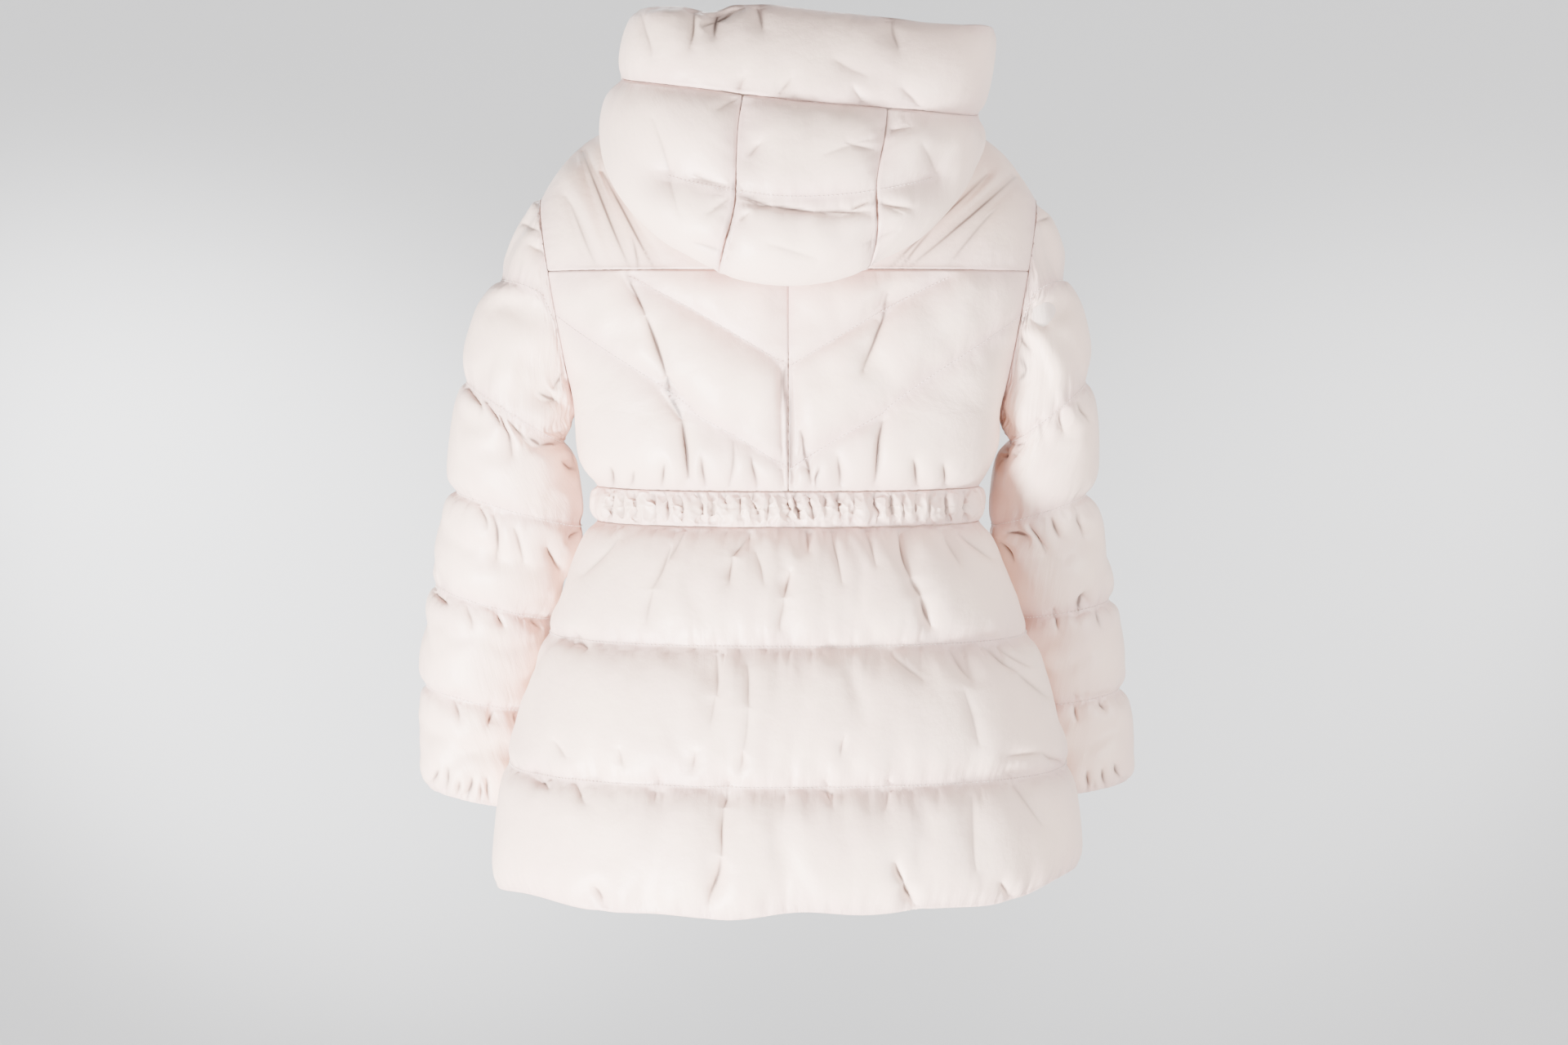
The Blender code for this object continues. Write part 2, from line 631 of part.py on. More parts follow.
def shoulder_height(x, y, clearance):
    """Height that keeps a place this far off the top of the body, for the hood to rest on."""
    tip_z = YOKE_Z + ARMHOLE_RISE
    tip_x = ARMHOLE_X + ARMHOLE_LEAN * tip_z
    reach = np.clip(np.abs(x), NECK_HALF, tip_x)
    out = (reach - NECK_HALF) / (tip_x - NECK_HALF)
    top = lerp(NECK_SIDE_Z, tip_z, out) + SHOULDER_BOW * np.sin(math.pi * out ** SHOULDER_SKEW)
    furthest = lerp(NECK_ARC, math.pi / 2, smooth(out))
    depth = np.where(y >= 0, body_size(YOKE_Z, 2), body_size(YOKE_Z, 3))
    edge_x = ARMHOLE_X + ARMHOLE_LEAN * YOKE_Z
    half_width = edge_x / (1 - (ARMHOLE_HALF_DEPTH / depth) ** PLAN_POWER) ** (1 / PLAN_POWER)
    edge_y = depth * (1 - (reach / half_width) ** PLAN_POWER) ** (1 / PLAN_POWER)
    level = np.clip(np.abs(y) / (edge_y + clearance), 0, 1)
    cosine = lerp(np.cos(furthest), 1.0, level)
    climb = np.sqrt(1 - cosine ** 2) / np.sin(furthest)
    return np.where(level < 1, YOKE_Z + (top + clearance - YOKE_Z) * climb, 2 * YOKE_Z)


def hood_value(station, column):
    """Reads a column of HOOD at a fractional station, on a smooth curve through its rows."""
    last = len(HOOD) - 1
    station = np.clip(station, 0, last)
    index = np.clip(np.floor(station).astype(int), 0, last - 1)
    share = station - index
    values = np.array([row[column] for row in HOOD])
    before = values[np.maximum(index - 1, 0)]
    here = values[index]
    after = values[index + 1]
    beyond = values[np.minimum(index + 2, last)]
    slope_here = (after - before) / 2
    slope_after = (beyond - here) / 2
    square = share * share
    cube = square * share
    return ((2 * cube - 3 * square + 1) * here + (cube - 2 * square + share) * slope_here
            + (-2 * cube + 3 * square) * after + (cube - square) * slope_after)


def hood_surface(station, angle):
    """Inside of the hood's wall; angle 0 is the back and +-180 degrees the front edge."""
    half_width = hood_value(station, 0)
    depth = np.where(np.cos(angle) >= 0, hood_value(station, 1), hood_value(station, 2))
    power = lerp(2.0, hood_value(station, 6), smooth((np.cos(angle) + 0.6) / 0.8))
    radius = plan_radius(angle, half_width, depth, power)
    x = radius * np.sin(angle)
    y = radius * np.cos(angle)
    pointed = smooth(np.minimum(station - 1.5, 8.5 - station) / 1.5)
    backward = np.clip(np.cos(angle), 0, 1) ** lerp(1.15, 1.8, pointed)
    forward = np.clip(-np.cos(angle), 0, 1) ** 2
    side_z = hood_value(station, 4)
    z = side_z + (hood_value(station, 3) - side_z) * backward + (hood_value(station, 5) - side_z) * forward
    facing = smooth((1 + np.cos(angle)) / 1.2)
    z = z + hood_value(station, 7) * x * smooth(2 * np.cos(angle))
    outer_leg = smooth((station - 3) / 6)
    x = x + HOOD_SHEAR * np.clip(z - HOOD_SHEAR_FROM_Z, 0, None) * facing * outer_leg
    resting = shoulder_height(x, y, HOOD_REST * smooth(station / 3))
    z = np.where(station > 1, np.maximum(z, resting), z)
    neck = neck_ring(angle)
    joined = np.exp(-((station / 0.5) ** 2))[..., None]
    return lerp(stack(x, y, z), neck, joined)


def front_angle(station):
    """Angle at which the hood's front edge stands beside the zip."""
    return math.pi - np.arcsin(FRONT_EDGE_X / hood_value(station, 2))


def gusset_angle(station):
    """Half the angle that the middle panel takes up; it narrows a little behind the nape."""
    pinch = GUSSET_PINCH * smooth(1 - np.abs(station - GUSSET_PINCH_STATION) / 2)
    return lerp(GUSSET_AT_NECK, GUSSET_AT_BRIM, np.clip(station / 5, 0, 1)) - pinch


def gusset_middle(station):
    """Angle of the middle panel's own middle: it twists towards the wearer's right."""
    return GUSSET_TWIST * smooth((station - 4) / 3)


def hood_wall(stations, angles, loft, lowest):
    """Inside and outside grids of part of the hood, for a thickness over each point."""
    inside = hood_surface(stations, angles)
    normal = step_normals(hood_surface, stations, angles)
    normal[..., 2] *= smooth(stations / 1.5)
    normal = unit(normal)
    outside = inside + normal * (lowest + loft)[..., None]
    clearance = HOOD_OVER_YOKE * smooth(stations / 3)
    outside[..., 2] = np.maximum(outside[..., 2], shoulder_height(outside[..., 0], outside[..., 1], clearance))
    return inside, outside


def hood_loft(stations, angles):
    """Filling of the hood: thin under it, full behind, held down at its seams and stitches."""
    rows = smooth((stations - 4.2) / 1.4) * puff((stations - 3.0) / (BRIM_STATION - 3.0), 0.6)
    turned = angles - gusset_middle(stations)
    gusset = 0.25 + 0.75 * edge_fade(np.abs(turned) - gusset_angle(stations), 0.07)
    middle = np.exp(-((turned / math.radians(34)) ** 4))
    stitch = 1 - 0.65 * middle * np.exp(-(((stations - HOOD_STITCH_STATION) / 0.45) ** 2))
    facing = lerp(0.3, 1.0, smooth(np.cos(angles) + 0.3))
    return HOOD_LOFT * rows * gusset * stitch * facing


def center_angles(stations, gap):
    """Columns of the hood's middle panel."""
    return gusset_middle(stations) + (gusset_angle(stations) - gap) * np.linspace(-1, 1, 9)[None, :]


def side_angles(stations, gap, side):
    """Columns of a side panel of the hood, with one straight over the shoulder."""
    turned = math.pi / 2
    share = np.linspace(0, 1, 9)[None, :]
    near = lerp(side * gusset_middle(stations) + gusset_angle(stations) + gap, turned, share)
    far = lerp(turned, front_angle(stations), share[:, 1:])
    return np.concatenate([near, far], axis=1)


def hood_panels():
    stations = np.concatenate([np.linspace(0, 3, 13), np.linspace(3.5, BRIM_STATION, 12)])[:, None]
    grids = {"hood_center": center_angles(stations, GUSSET_GAP)}
    for name, side in (("hood_side_left", 1), ("hood_side_right", -1)):
        grids[name] = side * side_angles(stations, GUSSET_GAP, side)
    for name, angles in grids.items():
        places = stations + 0 * angles
        lowest = lerp(SEAM_WALL, HOOD_INNER_WALL, smooth(places - 2) * smooth(7 - places))
        lowest = lerp(NECK_WALL, lowest, smooth(places))
        inside, outside = hood_wall(places, angles, hood_loft(places, angles), lowest)
        outside[0] = neck_ring(angles[0], NECK_WALL)
        inside[0] = neck_ring(angles[0])
        for grid in (inside, outside):
            grid[0, :, 2] += GAP / 2
        if name != "hood_center":
            outside[:, -1, 0] = inside[:, -1, 0]
        wall(name, inside, outside, SHELL_HOOD)


def brim():
    """The padded band that edges the hood, from front edge to front edge."""
    share = np.array((0, 0.1, 0.3, 0.55, 0.8, 0.94, 1.0))[:, None]
    stations = BRIM_STATION + share * (len(HOOD) - 1 - BRIM_STATION)
    right = -side_angles(stations, 0.0, -1)[:, :0:-1]
    left = side_angles(stations, 0.0, 1)[:, 1:]
    angles = np.concatenate([right, center_angles(stations, 0.0), left], axis=1)
    signed = np.linspace(-1, 1, angles.shape[1])[None, :]
    places = stations + 0 * angles
    loft = BRIM_LOFT * puff(share, 0.38) * lerp(0.45, 1.0, smooth((np.cos(angles) + 0.9) / 1.2))
    loft = loft * edge_fade(1 - np.abs(signed), 0.05)
    inside, outside = hood_wall(places, angles, loft, SEAM_WALL)
    for column in (0, -1):
        outside[:, column, 0] = inside[:, column, 0]
    for grid in (inside, outside):
        grid[..., 2] += GAP * 1.5
    wall("hood_brim", inside, outside, SHELL_HOOD)


def closing_line():
    """Middle of the zip tape from the hem to the brim, as y and z."""
    low = np.array(ZIP_HEIGHTS)
    y = -(body_size(low, 3) - SEAM_WALL / 2)
    points = list(zip(y, low))
    rise = np.linspace(0, 0.9, 6)[:, None]
    zero = np.zeros((1, 1))
    outer, _ = shoulder_arc(rise, zero, False, 0.0, YOKE_Z)
    inner, _ = shoulder_arc(rise, zero, False, SEAM_WALL, YOKE_Z)
    middle = (outer + inner) / 2
    points += [(-row[0, 1], row[0, 2]) for row in middle]
    for station in (0.6, 1, 2, 3, 4, 5, 6, 7, 8, 9, 10, 10.6):
        place = hood_surface(np.array([[station]]), np.array([[math.pi]]))[0, 0]
        points.append((place[1] - SEAM_WALL / 2, place[2]))
    return np.array(points)


def zip_tapes():
    line = closing_line()
    along = unit(np.gradient(line, axis=0))
    out = np.stack((-along[:, 1], along[:, 0]), axis=-1)
    builder = bmesh.new()
    rings = []
    for (y, z), (out_y, out_z) in zip(line, out):
        ring = []
        for x, depth in ((-1, -1), (1, -1), (1, 1), (-1, 1)):
            shift = depth * TAPE_WALL / 2
            ring.append(builder.verts.new((x * TAPE_HALF, y + shift * out_y, z + shift * out_z)))
        rings.append(ring)
    for low, high in zip(rings, rings[1:]):
        for corner in range(4):
            following = (corner + 1) % 4
            builder.faces.new((low[corner], low[following], high[following], high[corner]))
    builder.faces.new(rings[0])
    builder.faces.new(rings[-1])
    add_object("zip_tapes", builder, TAPE)


def box(builder, centre, size):
    verts = bmesh.ops.create_cube(builder, size=1.0)["verts"]
    for vert in verts:
        vert.co = [middle + value * width for middle, value, width in zip(centre, vert.co, size)]


def slider_front():
    """How far forward the slider's face stands."""
    line = closing_line()
    half = SLIDER_SIZE[2] / 2
    nearest = min(np.interp((SLIDER_Z - half, SLIDER_Z, SLIDER_Z + half), line[:, 1], line[:, 0]))
    return nearest - TAPE_WALL / 2 - GAP - SLIDER_SIZE[1]


def zip_slider():
    """The slider's body, with the crown that its pull tab hangs on."""
    face = slider_front()
    opening = PULL_SIZE[1] + 2 * PULL_PLAY
    builder = bmesh.new()
    box(builder, (0, face + SLIDER_SIZE[1] / 2, SLIDER_Z), SLIDER_SIZE)
    bmesh.ops.bevel(builder, geom=builder.edges[:], offset=0.0006, segments=2, affect="EDGES")
    slider = add_object("zip_slider", builder, METAL)
    reach = opening + CROWN_BAR
    for index, (depth, height, y, z) in enumerate((
            (reach + CROWN_ROOT, CROWN_BAR, (CROWN_ROOT - reach) / 2, (CROWN_LENGTH - CROWN_BAR) / 2),
            (reach + CROWN_ROOT, CROWN_BAR, (CROWN_ROOT - reach) / 2, (CROWN_BAR - CROWN_LENGTH) / 2),
            (CROWN_BAR, CROWN_LENGTH, CROWN_BAR / 2 - reach, 0))):
        builder = bmesh.new()
        box(builder, (0, face + y, SLIDER_Z + z), (CROWN_WIDTH, depth, height))
        bar = add_object("crown_bar_%d" % index, builder, METAL)
        bar.hide_render = True
        bar.display_type = "WIRE"
        union = slider.modifiers.new("crown", "BOOLEAN")
        union.operation = "UNION"
        union.object = bar


def pull_axis():
    """The line that the pull tab turns on, as y and z."""
    y = slider_front() - PULL_PLAY - PULL_SIZE[1] / 2
    z = SLIDER_Z - CROWN_LENGTH / 2 + CROWN_BAR + PULL_PLAY + PULL_BAR / 2
    return y, z


def zip_pull():
    """The pull tab: a plate with a window, hanging from the crown."""
    axis_y, axis_z = pull_axis()
    width, thickness, length = PULL_SIZE
    window_width, window_length = PULL_WINDOW
    top = PULL_BAR / 2
    low = top - length
    outline = ((-width / 2, top), (width / 2, top), (width / 2, low + 0.002), (width / 2 - 0.002, low),
               (0.002 - width / 2, low), (-width / 2, low + 0.002))
    window_top = -PULL_BAR / 2
    window_low = window_top - window_length
    window = ((-window_width / 2, window_top), (window_width / 2, window_top),
              (window_width / 2, window_low), (-window_width / 2, window_low))
    builder = bmesh.new()
    layers = []
    for y in (-thickness / 2, thickness / 2):
        layers.append([[builder.verts.new((x, y, z)) for x, z in ring] for ring in (outline, window)])
    for outer, inner in layers:
        builder.faces.new((outer[0], outer[1], inner[1], inner[0]))
        builder.faces.new((outer[1], outer[2], inner[2], inner[1]))
        builder.faces.new((outer[2], outer[3], outer[4], outer[5], inner[3], inner[2]))
        builder.faces.new((outer[5], outer[0], inner[0], inner[3]))
    for ring in (0, 1):
        front, back = layers[0][ring], layers[1][ring]
        for index in range(len(front)):
            following = (index + 1) % len(front)
            builder.faces.new((front[index], front[following], back[following], back[index]))
    pull = add_object("zip_pull", builder, METAL)
    pull.location = (0, axis_y, axis_z)


def build():
    for piece in list(bpy.data.objects):
        bpy.data.objects.remove(piece)
    quarter = math.pi / 2
    tiny = GAP / 2 / 0.2
    front = math.pi - FRONT_EDGE_X / 0.17
    skirt("skirt_back", -quarter + tiny, quarter - tiny, 44)
    for word, side in (("left", 1), ("right", -1)):
        skirt("skirt_front_" + word, side * front, side * (quarter + tiny), 22, front_edge=side * front)
        band("waistband_front_" + word, side * front, side * (quarter + tiny), 22, front_edge=True)
        upper_back("upper_back_" + word, side)
        upper_front("front_upper_" + word, side)
    band("waistband_back", -quarter + tiny, quarter - tiny, 48)
    yoke()
    sleeve("sleeve_left", 1, SLEEVE_LEFT)
    sleeve("sleeve_right", -1, SLEEVE_RIGHT)
    hood_panels()
    brim()
    zip_tapes()
    zip_slider()
    zip_pull()


build()
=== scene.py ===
"""Looks of the down jacket: padded cloth panels, stitches, zip, materials, light and camera.

Metres, +Z up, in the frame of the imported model: the front faces -Y and the wearer's left side +X.
Each padded panel is a sheet of cloth, held at its stitched lines and blown up by its filling, over a plain lining.
"""
import math

import bmesh
import bpy
import numpy as np
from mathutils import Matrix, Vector
from mathutils.kdtree import KDTree


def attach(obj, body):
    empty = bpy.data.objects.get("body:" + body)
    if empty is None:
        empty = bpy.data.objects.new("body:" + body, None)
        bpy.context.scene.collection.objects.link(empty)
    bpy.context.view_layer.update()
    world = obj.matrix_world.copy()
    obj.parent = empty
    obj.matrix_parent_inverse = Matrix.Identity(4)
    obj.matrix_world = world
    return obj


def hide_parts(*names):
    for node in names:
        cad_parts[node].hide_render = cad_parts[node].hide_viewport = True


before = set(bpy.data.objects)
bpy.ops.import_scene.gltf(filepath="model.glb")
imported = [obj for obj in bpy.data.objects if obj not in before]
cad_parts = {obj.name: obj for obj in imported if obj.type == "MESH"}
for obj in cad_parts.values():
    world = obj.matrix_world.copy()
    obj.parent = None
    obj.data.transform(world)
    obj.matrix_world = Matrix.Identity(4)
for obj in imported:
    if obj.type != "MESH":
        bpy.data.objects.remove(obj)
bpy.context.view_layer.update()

# Seams and walls
GAP = 0.0003
SEAM_WALL = 0.004
NECK_WALL = 0.006
PLAN_POWER = 2.3

# Heights of the sewn lines
YOKE_Z = -0.105
UNDERARM_Z = -0.235
WAIST_TOP_Z = -0.307
WAIST_LOW_Z = -0.340
SKIRT_LINES_Z = (-0.340, -0.446, -0.570, -0.684)

# Heights at which the zip's middle line is worked out, from the hem to the chest
ZIP_HEIGHTS = (-0.680, -0.650, -0.610, -0.570, -0.510, -0.446, -0.395, -0.340, -0.307, -0.280, -0.260,
               -0.235, -0.200, -0.170, -0.140, -0.120)

# Stations of the hood that the zip's middle line passes, from the neckline to the brim
ZIP_STATIONS = (0.6, 1, 2, 3, 4, 5, 6, 7, 8, 9, 10, 10.6)

# How far the hem rises on the wearer's right
HEM_TILT = 0.017

# Outside of the body at its sewn lines: height, half width, back depth, front depth
BODY = (
    (-0.105, 0.2227, 0.150, 0.117),
    (-0.170, 0.2120, 0.152, 0.142),
    (-0.235, 0.2012, 0.144, 0.148),
    (-0.280, 0.1910, 0.133, 0.139),
    (-0.307, 0.1820, 0.124, 0.130),
    (-0.340, 0.1820, 0.124, 0.130),
    (-0.446, 0.2270, 0.158, 0.155),
    (-0.570, 0.2660, 0.188, 0.175),
    (-0.684, 0.2795, 0.204, 0.190),
)

# Armhole: an egg in the plane x = ARMHOLE_X + ARMHOLE_LEAN * z
ARMHOLE_X = 0.240
ARMHOLE_LEAN = 0.165
ARMHOLE_HALF_DEPTH = 0.076
ARMHOLE_RISE = 0.070
ARMHOLE_DROP = YOKE_Z - UNDERARM_Z

# Neckline: inside half width, depths, and its heights at the back, side and front
NECK_HALF = 0.083
NECK_BACK = 0.062
NECK_FRONT = 0.082
NECK_BACK_Z = 0.027
NECK_SIDE_Z = 0.045
NECK_FRONT_Z = 0.009
NECK_SHARE = 0.42
NECK_ARC = math.radians(35)
SHOULDER_BOW = 0.031
SHOULDER_SKEW = 1.6

# Filling: how far the outside rises over its stitched lines
BACK_LOFT = 0.018
SIDE_LOFT = 0.007
FRONT_LOFT = 0.014
FRONT_TOP_LOFT = 0.006
SLEEVE_LOFT = 0.012
SLEEVE_INSIDE_LOFT = 0.005
YOKE_LOFT = 0.005
BAND_LOFT = 0.007

# Chevrons on the upper back: height at the centre seam and rise per metre across
CHEVRON_LOW = (-0.287, 0.655)
CHEVRON_HIGH = (-0.193, 0.550)

# Sleeve lines, outside: half width out, height out, half width in, height in, middle y, half depth
SLEEVE_LEFT = (
    (0.307, -0.209, 0.2150, -0.266, -0.008, 0.067),
    (0.320, -0.314, 0.2000, -0.348, -0.030, 0.062),
    (0.344, -0.408, 0.2330, -0.440, -0.060, 0.056),
    (0.357, -0.508, 0.2540, -0.533, -0.085, 0.053),
    (0.357, -0.612, 0.2640, -0.632, -0.100, 0.046),
)
SLEEVE_RIGHT = (
    (0.284, -0.209, 0.2130, -0.266, -0.010, 0.066),
    (0.288, -0.318, 0.1980, -0.347, -0.042, 0.061),
    (0.316, -0.424, 0.2230, -0.441, -0.085, 0.055),
    (0.330, -0.515, 0.2420, -0.531, -0.112, 0.051),
    (0.341, -0.609, 0.2540, -0.624, -0.128, 0.045),
)
SHOULDER_BULGE = 0.007

# Hood, inside of its wall, from the neckline to the brim's edge:
# half width, back depth, front depth, height at back, side and front, plan power, tilt to the left
HOOD = (
    (0.0830, 0.062, 0.082, 0.027, 0.045, 0.009, 2.0, 0.00),
    (0.0880, 0.073, 0.086, 0.044, 0.061, 0.022, 2.0, 0.00),
    (0.1010, 0.100, 0.090, 0.046, 0.069, 0.030, 2.2, 0.00),
    (0.1180, 0.140, 0.093, -0.006, 0.067, 0.036, 2.5, 0.00),
    (0.1350, 0.182, 0.097, -0.074, 0.062, 0.040, 2.8, 0.00),
    (0.1470, 0.208, 0.100, -0.110, 0.057, 0.043, 2.8, 0.00),
    (0.1560, 0.229, 0.102, -0.082, 0.054, 0.046, 2.9, 0.01),
    (0.1620, 0.236, 0.104, -0.044, 0.053, 0.049, 3.0, 0.03),
    (0.1645, 0.232, 0.105, -0.001, 0.057, 0.053, 3.2, 0.06),
    (0.1630, 0.216, 0.105, 0.039, 0.067, 0.059, 3.8, 0.10),
    (0.1610, 0.206, 0.101, 0.081, 0.094, 0.069, 5.0, 0.09),
    (0.1550, 0.180, 0.094, 0.116, 0.121, 0.080, 6.0, 0.06),
)
BRIM_STATION = 9
HOOD_STITCH_STATION = 7
HOOD_INNER_WALL = 0.007
HOOD_LOFT = 0.013
HOOD_REST = 0.017
HOOD_OVER_YOKE = 0.010
BRIM_LOFT = 0.011
HOOD_SHEAR = -0.13
HOOD_SHEAR_FROM_Z = -0.03
GUSSET_AT_NECK = math.radians(30)
GUSSET_AT_BRIM = math.radians(16.5)
GUSSET_PINCH = math.radians(2)
GUSSET_PINCH_STATION = 7
GUSSET_TWIST = math.radians(-3.6)
GUSSET_GAP = 0.0011

# Front zip: half width and thickness of its tapes, and the slider's height and length
TAPE_HALF = 0.0055
TAPE_WALL = 0.0016
FRONT_EDGE_X = TAPE_HALF + GAP
SLIDER_Z = 0.062
SLIDER_LENGTH = 0.0120

# Size of the cloth's cells, rows of them in the brim, and rows to a station of the hood
CELL = 0.005
FRONT_CELL = 0.0068
BAND_CELL = 0.003
BRIM_ROWS = 14
STATION_ROWS = 6

# Lengths that the cells are counted over, at the middle of each kind of panel
SKIRT_RADIUS = 0.235
BAND_RADIUS = 0.165
HALF_BACK = 0.24
YOKE_SPAN = 0.47
YOKE_RISE = 0.16
FRONT_SPAN = 0.225
FRONT_RISE = 0.15
SLEEVE_ROUND = 0.36
SLEEVE_CAP = 0.17
GUSSET_ROUND = 0.13
HOOD_SIDE_BACK = 0.21
HOOD_SIDE_FRONT = 0.19
BRIM_ROUND = 1.0

# Radius of the body at the side seams and beside the zip, to turn a gap there into an angle
SIDE_RADIUS = 0.2
ZIP_RADIUS = 0.17

# The cloth's simulation: frames, how far from the stitches its growth changes, and how uneven its start is
CLOTH_FRAMES = 20
GROWTH_REACH = 0.012
START_NOISE = 0.0003
CLOTH_SETTINGS = {
    "quality": 5, "mass": 0.02, "tension_stiffness": 15, "compression_stiffness": 15, "shear_stiffness": 5,
    "bending_stiffness": 0.05, "tension_damping": 5, "compression_damping": 5, "shear_damping": 5,
    "bending_damping": 0.5, "use_pressure": True, "uniform_pressure_force": 4.0, "vertex_group_mass": "pins",
    "vertex_group_shrink": "near",
}

# Growth of the cloth away from the stitches and beside them
GROWTH = (0.11, 0.20)
YOKE_GROWTH = (0.01, 0.03)
BRIM_GROWTH = (0.02, 0.06)
BAND_GROWTH = (0.25, 0.30)

# How far the filled cloth may stand out, as a share of its height and beyond it, and how far it may sink in
STAND_SHARE = 1.3
STAND_MORE = 0.002
SINK = 0.0015

# How far it may slide, for its distance from the stitches; the least share of its height that the brim stands
# out, and how soon it gets there beside its stitches
SLIDE_SHARE = 0.55
BRIM_LEAST = 0.9
BRIM_REACH = 0.003

# How often each kind of piece is smoothed, and how much each time
IRONED = (("upper_back", 6), ("skirt", 4), ("hood_brim", 6), ("hood", 4), ("front", 3), ("sleeve", 2),
          ("back_yoke", 4))
IRON_SHARE = 0.6

# Where the upper chevron ends below the yoke, the slanting line's share of the sleeve's cap, and how far the
# hood's panels are lifted off the back
CHEVRON_END = 0.006
SLEEVE_CAP_SHARE = 0.48
HOOD_SEAM_LIFT = 0.006

# Small puckers beside the stitches: depth, reach (also of the painted shade beside the stitches), painted shade in
# them, and their share on each kind of piece
PUCKER_DEPTH = 0.0042
PUCKER_FADE = 0.011
PUCKER_PAINTED_SHADE = 0.12
PUCKERED = (("upper_back", 0.3), ("back_yoke", 0.3), ("waistband", 0.6), ("hood", 0.55), ("front", 0.7))

# Their pattern along a line, in millimetres: depths, widths, steps from one to the next, first step at most
PUCKER_DEPTHS = (0.25, 1.0)
PUCKER_WIDTHS = (2.2, 4.4)
PUCKER_STEPS = (7, 24)
PUCKER_FIRST = 12

# Sharpness of seams and edges under the subdivision
SEAM_SHARPNESS = 0.9

# Creases, seen from behind, or from the front on the front pieces: x and z at each end in whole
# millimetres, then half width and depth in tenths of a millimetre
UPPER_CREASES = (
    (154, -106, 137, -147, 40, 50), (137, -147, 119, -207, 35, 70), (119, -207, 102, -245, 35, 90),
    (102, -245, 96, -304, 35, 80), (-97, -126, -73, -197, 40, 50), (-90, -245, -84, -306, 35, 70),
    (2, -195, -2, -306, 30, 80), (-10, -257, -23, -307, 30, 60), (-30, -292, -27, -309, 30, 40),
    (119, -289, 122, -310, 30, 40), (83, -282, 80, -310, 30, 40), (34, -281, 30, -310, 30, 40),
    (-48, -281, -50, -310, 30, 40), (-122, -285, -125, -310, 30, 50), (-151, -289, -152, -310, 30, 40),
    (51, -265, 56, -310, 30, 30), (172, -292, 168, -310, 30, 40), (148, -296, 151, -310, 30, 30),
)
YOKE_CREASES = (
    (200, 16, 152, -100, 60, 75), (179, -6, 127, -102, 50, 75), (150, -70, 142, -104, 35, 50),
    (214, -31, 184, -98, 60, 45), (-222, -10, -115, -100, 60, 75), (-190, -9, -94, -103, 55, 75),
    (-140, -60, -104, -104, 35, 55), (-203, -39, -152, -98, 55, 45),
)
BAND_CREASES = (
    (170, -310, 173, -343, 24, 50), (150, -310, 147, -343, 22, 40), (131, -310, 129, -343, 22, 40),
    (119, -310, 116, -343, 26, 60), (105, -312, 103, -343, 22, 50), (87, -310, 83, -343, 24, 60),
    (72, -315, 74, -343, 22, 40), (47, -310, 44, -339, 22, 40), (34, -310, 29, -343, 26, 60),
    (17, -315, 19, -343, 22, 40), (3, -310, -2, -343, 26, 60), (-7, -310, -11, -343, 24, 60),
    (-19, -310, -25, -343, 24, 50), (-48, -310, -51, -343, 24, 50), (-64, -317, -62, -343, 22, 35),
    (-83, -310, -87, -343, 26, 60), (-99, -310, -102, -343, 24, 50), (-111, -315, -113, -343, 22, 40),
    (-123, -310, -126, -343, 24, 50), (-139, -314, -137, -343, 22, 40), (-152, -310, -155, -343, 24, 50),
    (-170, -312, -172, -343, 22, 40), (62, -310, 59, -329, 22, 35), (-35, -312, -37, -334, 22, 35),
    (160, -314, 161, -339, 22, 35),
)
SKIRT_CREASES = (
    (164, -357, 197, -392, 40, 35), (99, -351, 119, -382, 35, 35), (113, -365, 131, -404, 40, 50),
    (131, -404, 137, -437, 40, 35), (39, -356, 54, -374, 35, 50), (54, -374, 57, -399, 35, 50),
    (30, -371, 23, -399, 35, 30), (-1, -390, 4, -413, 30, 60), (4, -413, 6, -446, 35, 40),
    (-17, -349, -19, -368, 30, 40), (-41, -347, -52, -399, 40, 35), (-74, -349, -85, -382, 40, 30),
    (-106, -349, -118, -394, 35, 60), (-118, -394, -129, -415, 35, 50), (-129, -415, -139, -443, 35, 70),
    (-165, -351, -197, -376, 40, 45), (-152, -355, -166, -382, 40, 35), (69, -470, 70, -507, 40, 45),
    (70, -507, 75, -534, 40, 30), (39, -480, 37, -519, 40, 40), (37, -519, 44, -569, 45, 30),
    (-156, -464, -177, -493, 40, 40), (-191, -460, -222, -485, 35, 50), (-222, -485, -250, -509, 35, 40),
    (-203, -462, -232, -480, 30, 30), (-98, -468, -129, -493, 45, 30), (-172, -507, -185, -555, 50, 25),
    (90, -566, 93, -580, 26, 40), (43, -563, 46, -582, 26, 40), (-51, -566, -55, -550, 26, 30),
    (-214, -569, -246, -565, 28, 40), (-246, -565, -269, -577, 28, 40), (207, -449, 194, -462, 26, 30),
    (216, -569, 226, -554, 26, 30), (160, -577, 163, -562, 26, 30), (58, -597, 62, -618, 40, 50),
    (62, -618, 66, -668, 40, 60), (66, -668, 76, -711, 40, 80), (-105, -673, -113, -693, 30, 60),
    (-113, -693, -122, -714, 30, 70), (188, -697, 181, -711, 30, 60), (245, -583, 233, -597, 30, 40),
    (207, -590, 197, -612, 35, 30), (-214, -587, -246, -633, 40, 35), (-177, -608, -183, -679, 50, 25),
    (-208, -693, -214, -705, 30, 50), (125, -591, 129, -610, 30, 30), (-35, -593, -40, -612, 30, 30),
    (-98, -594, -94, -616, 30, 30),
)
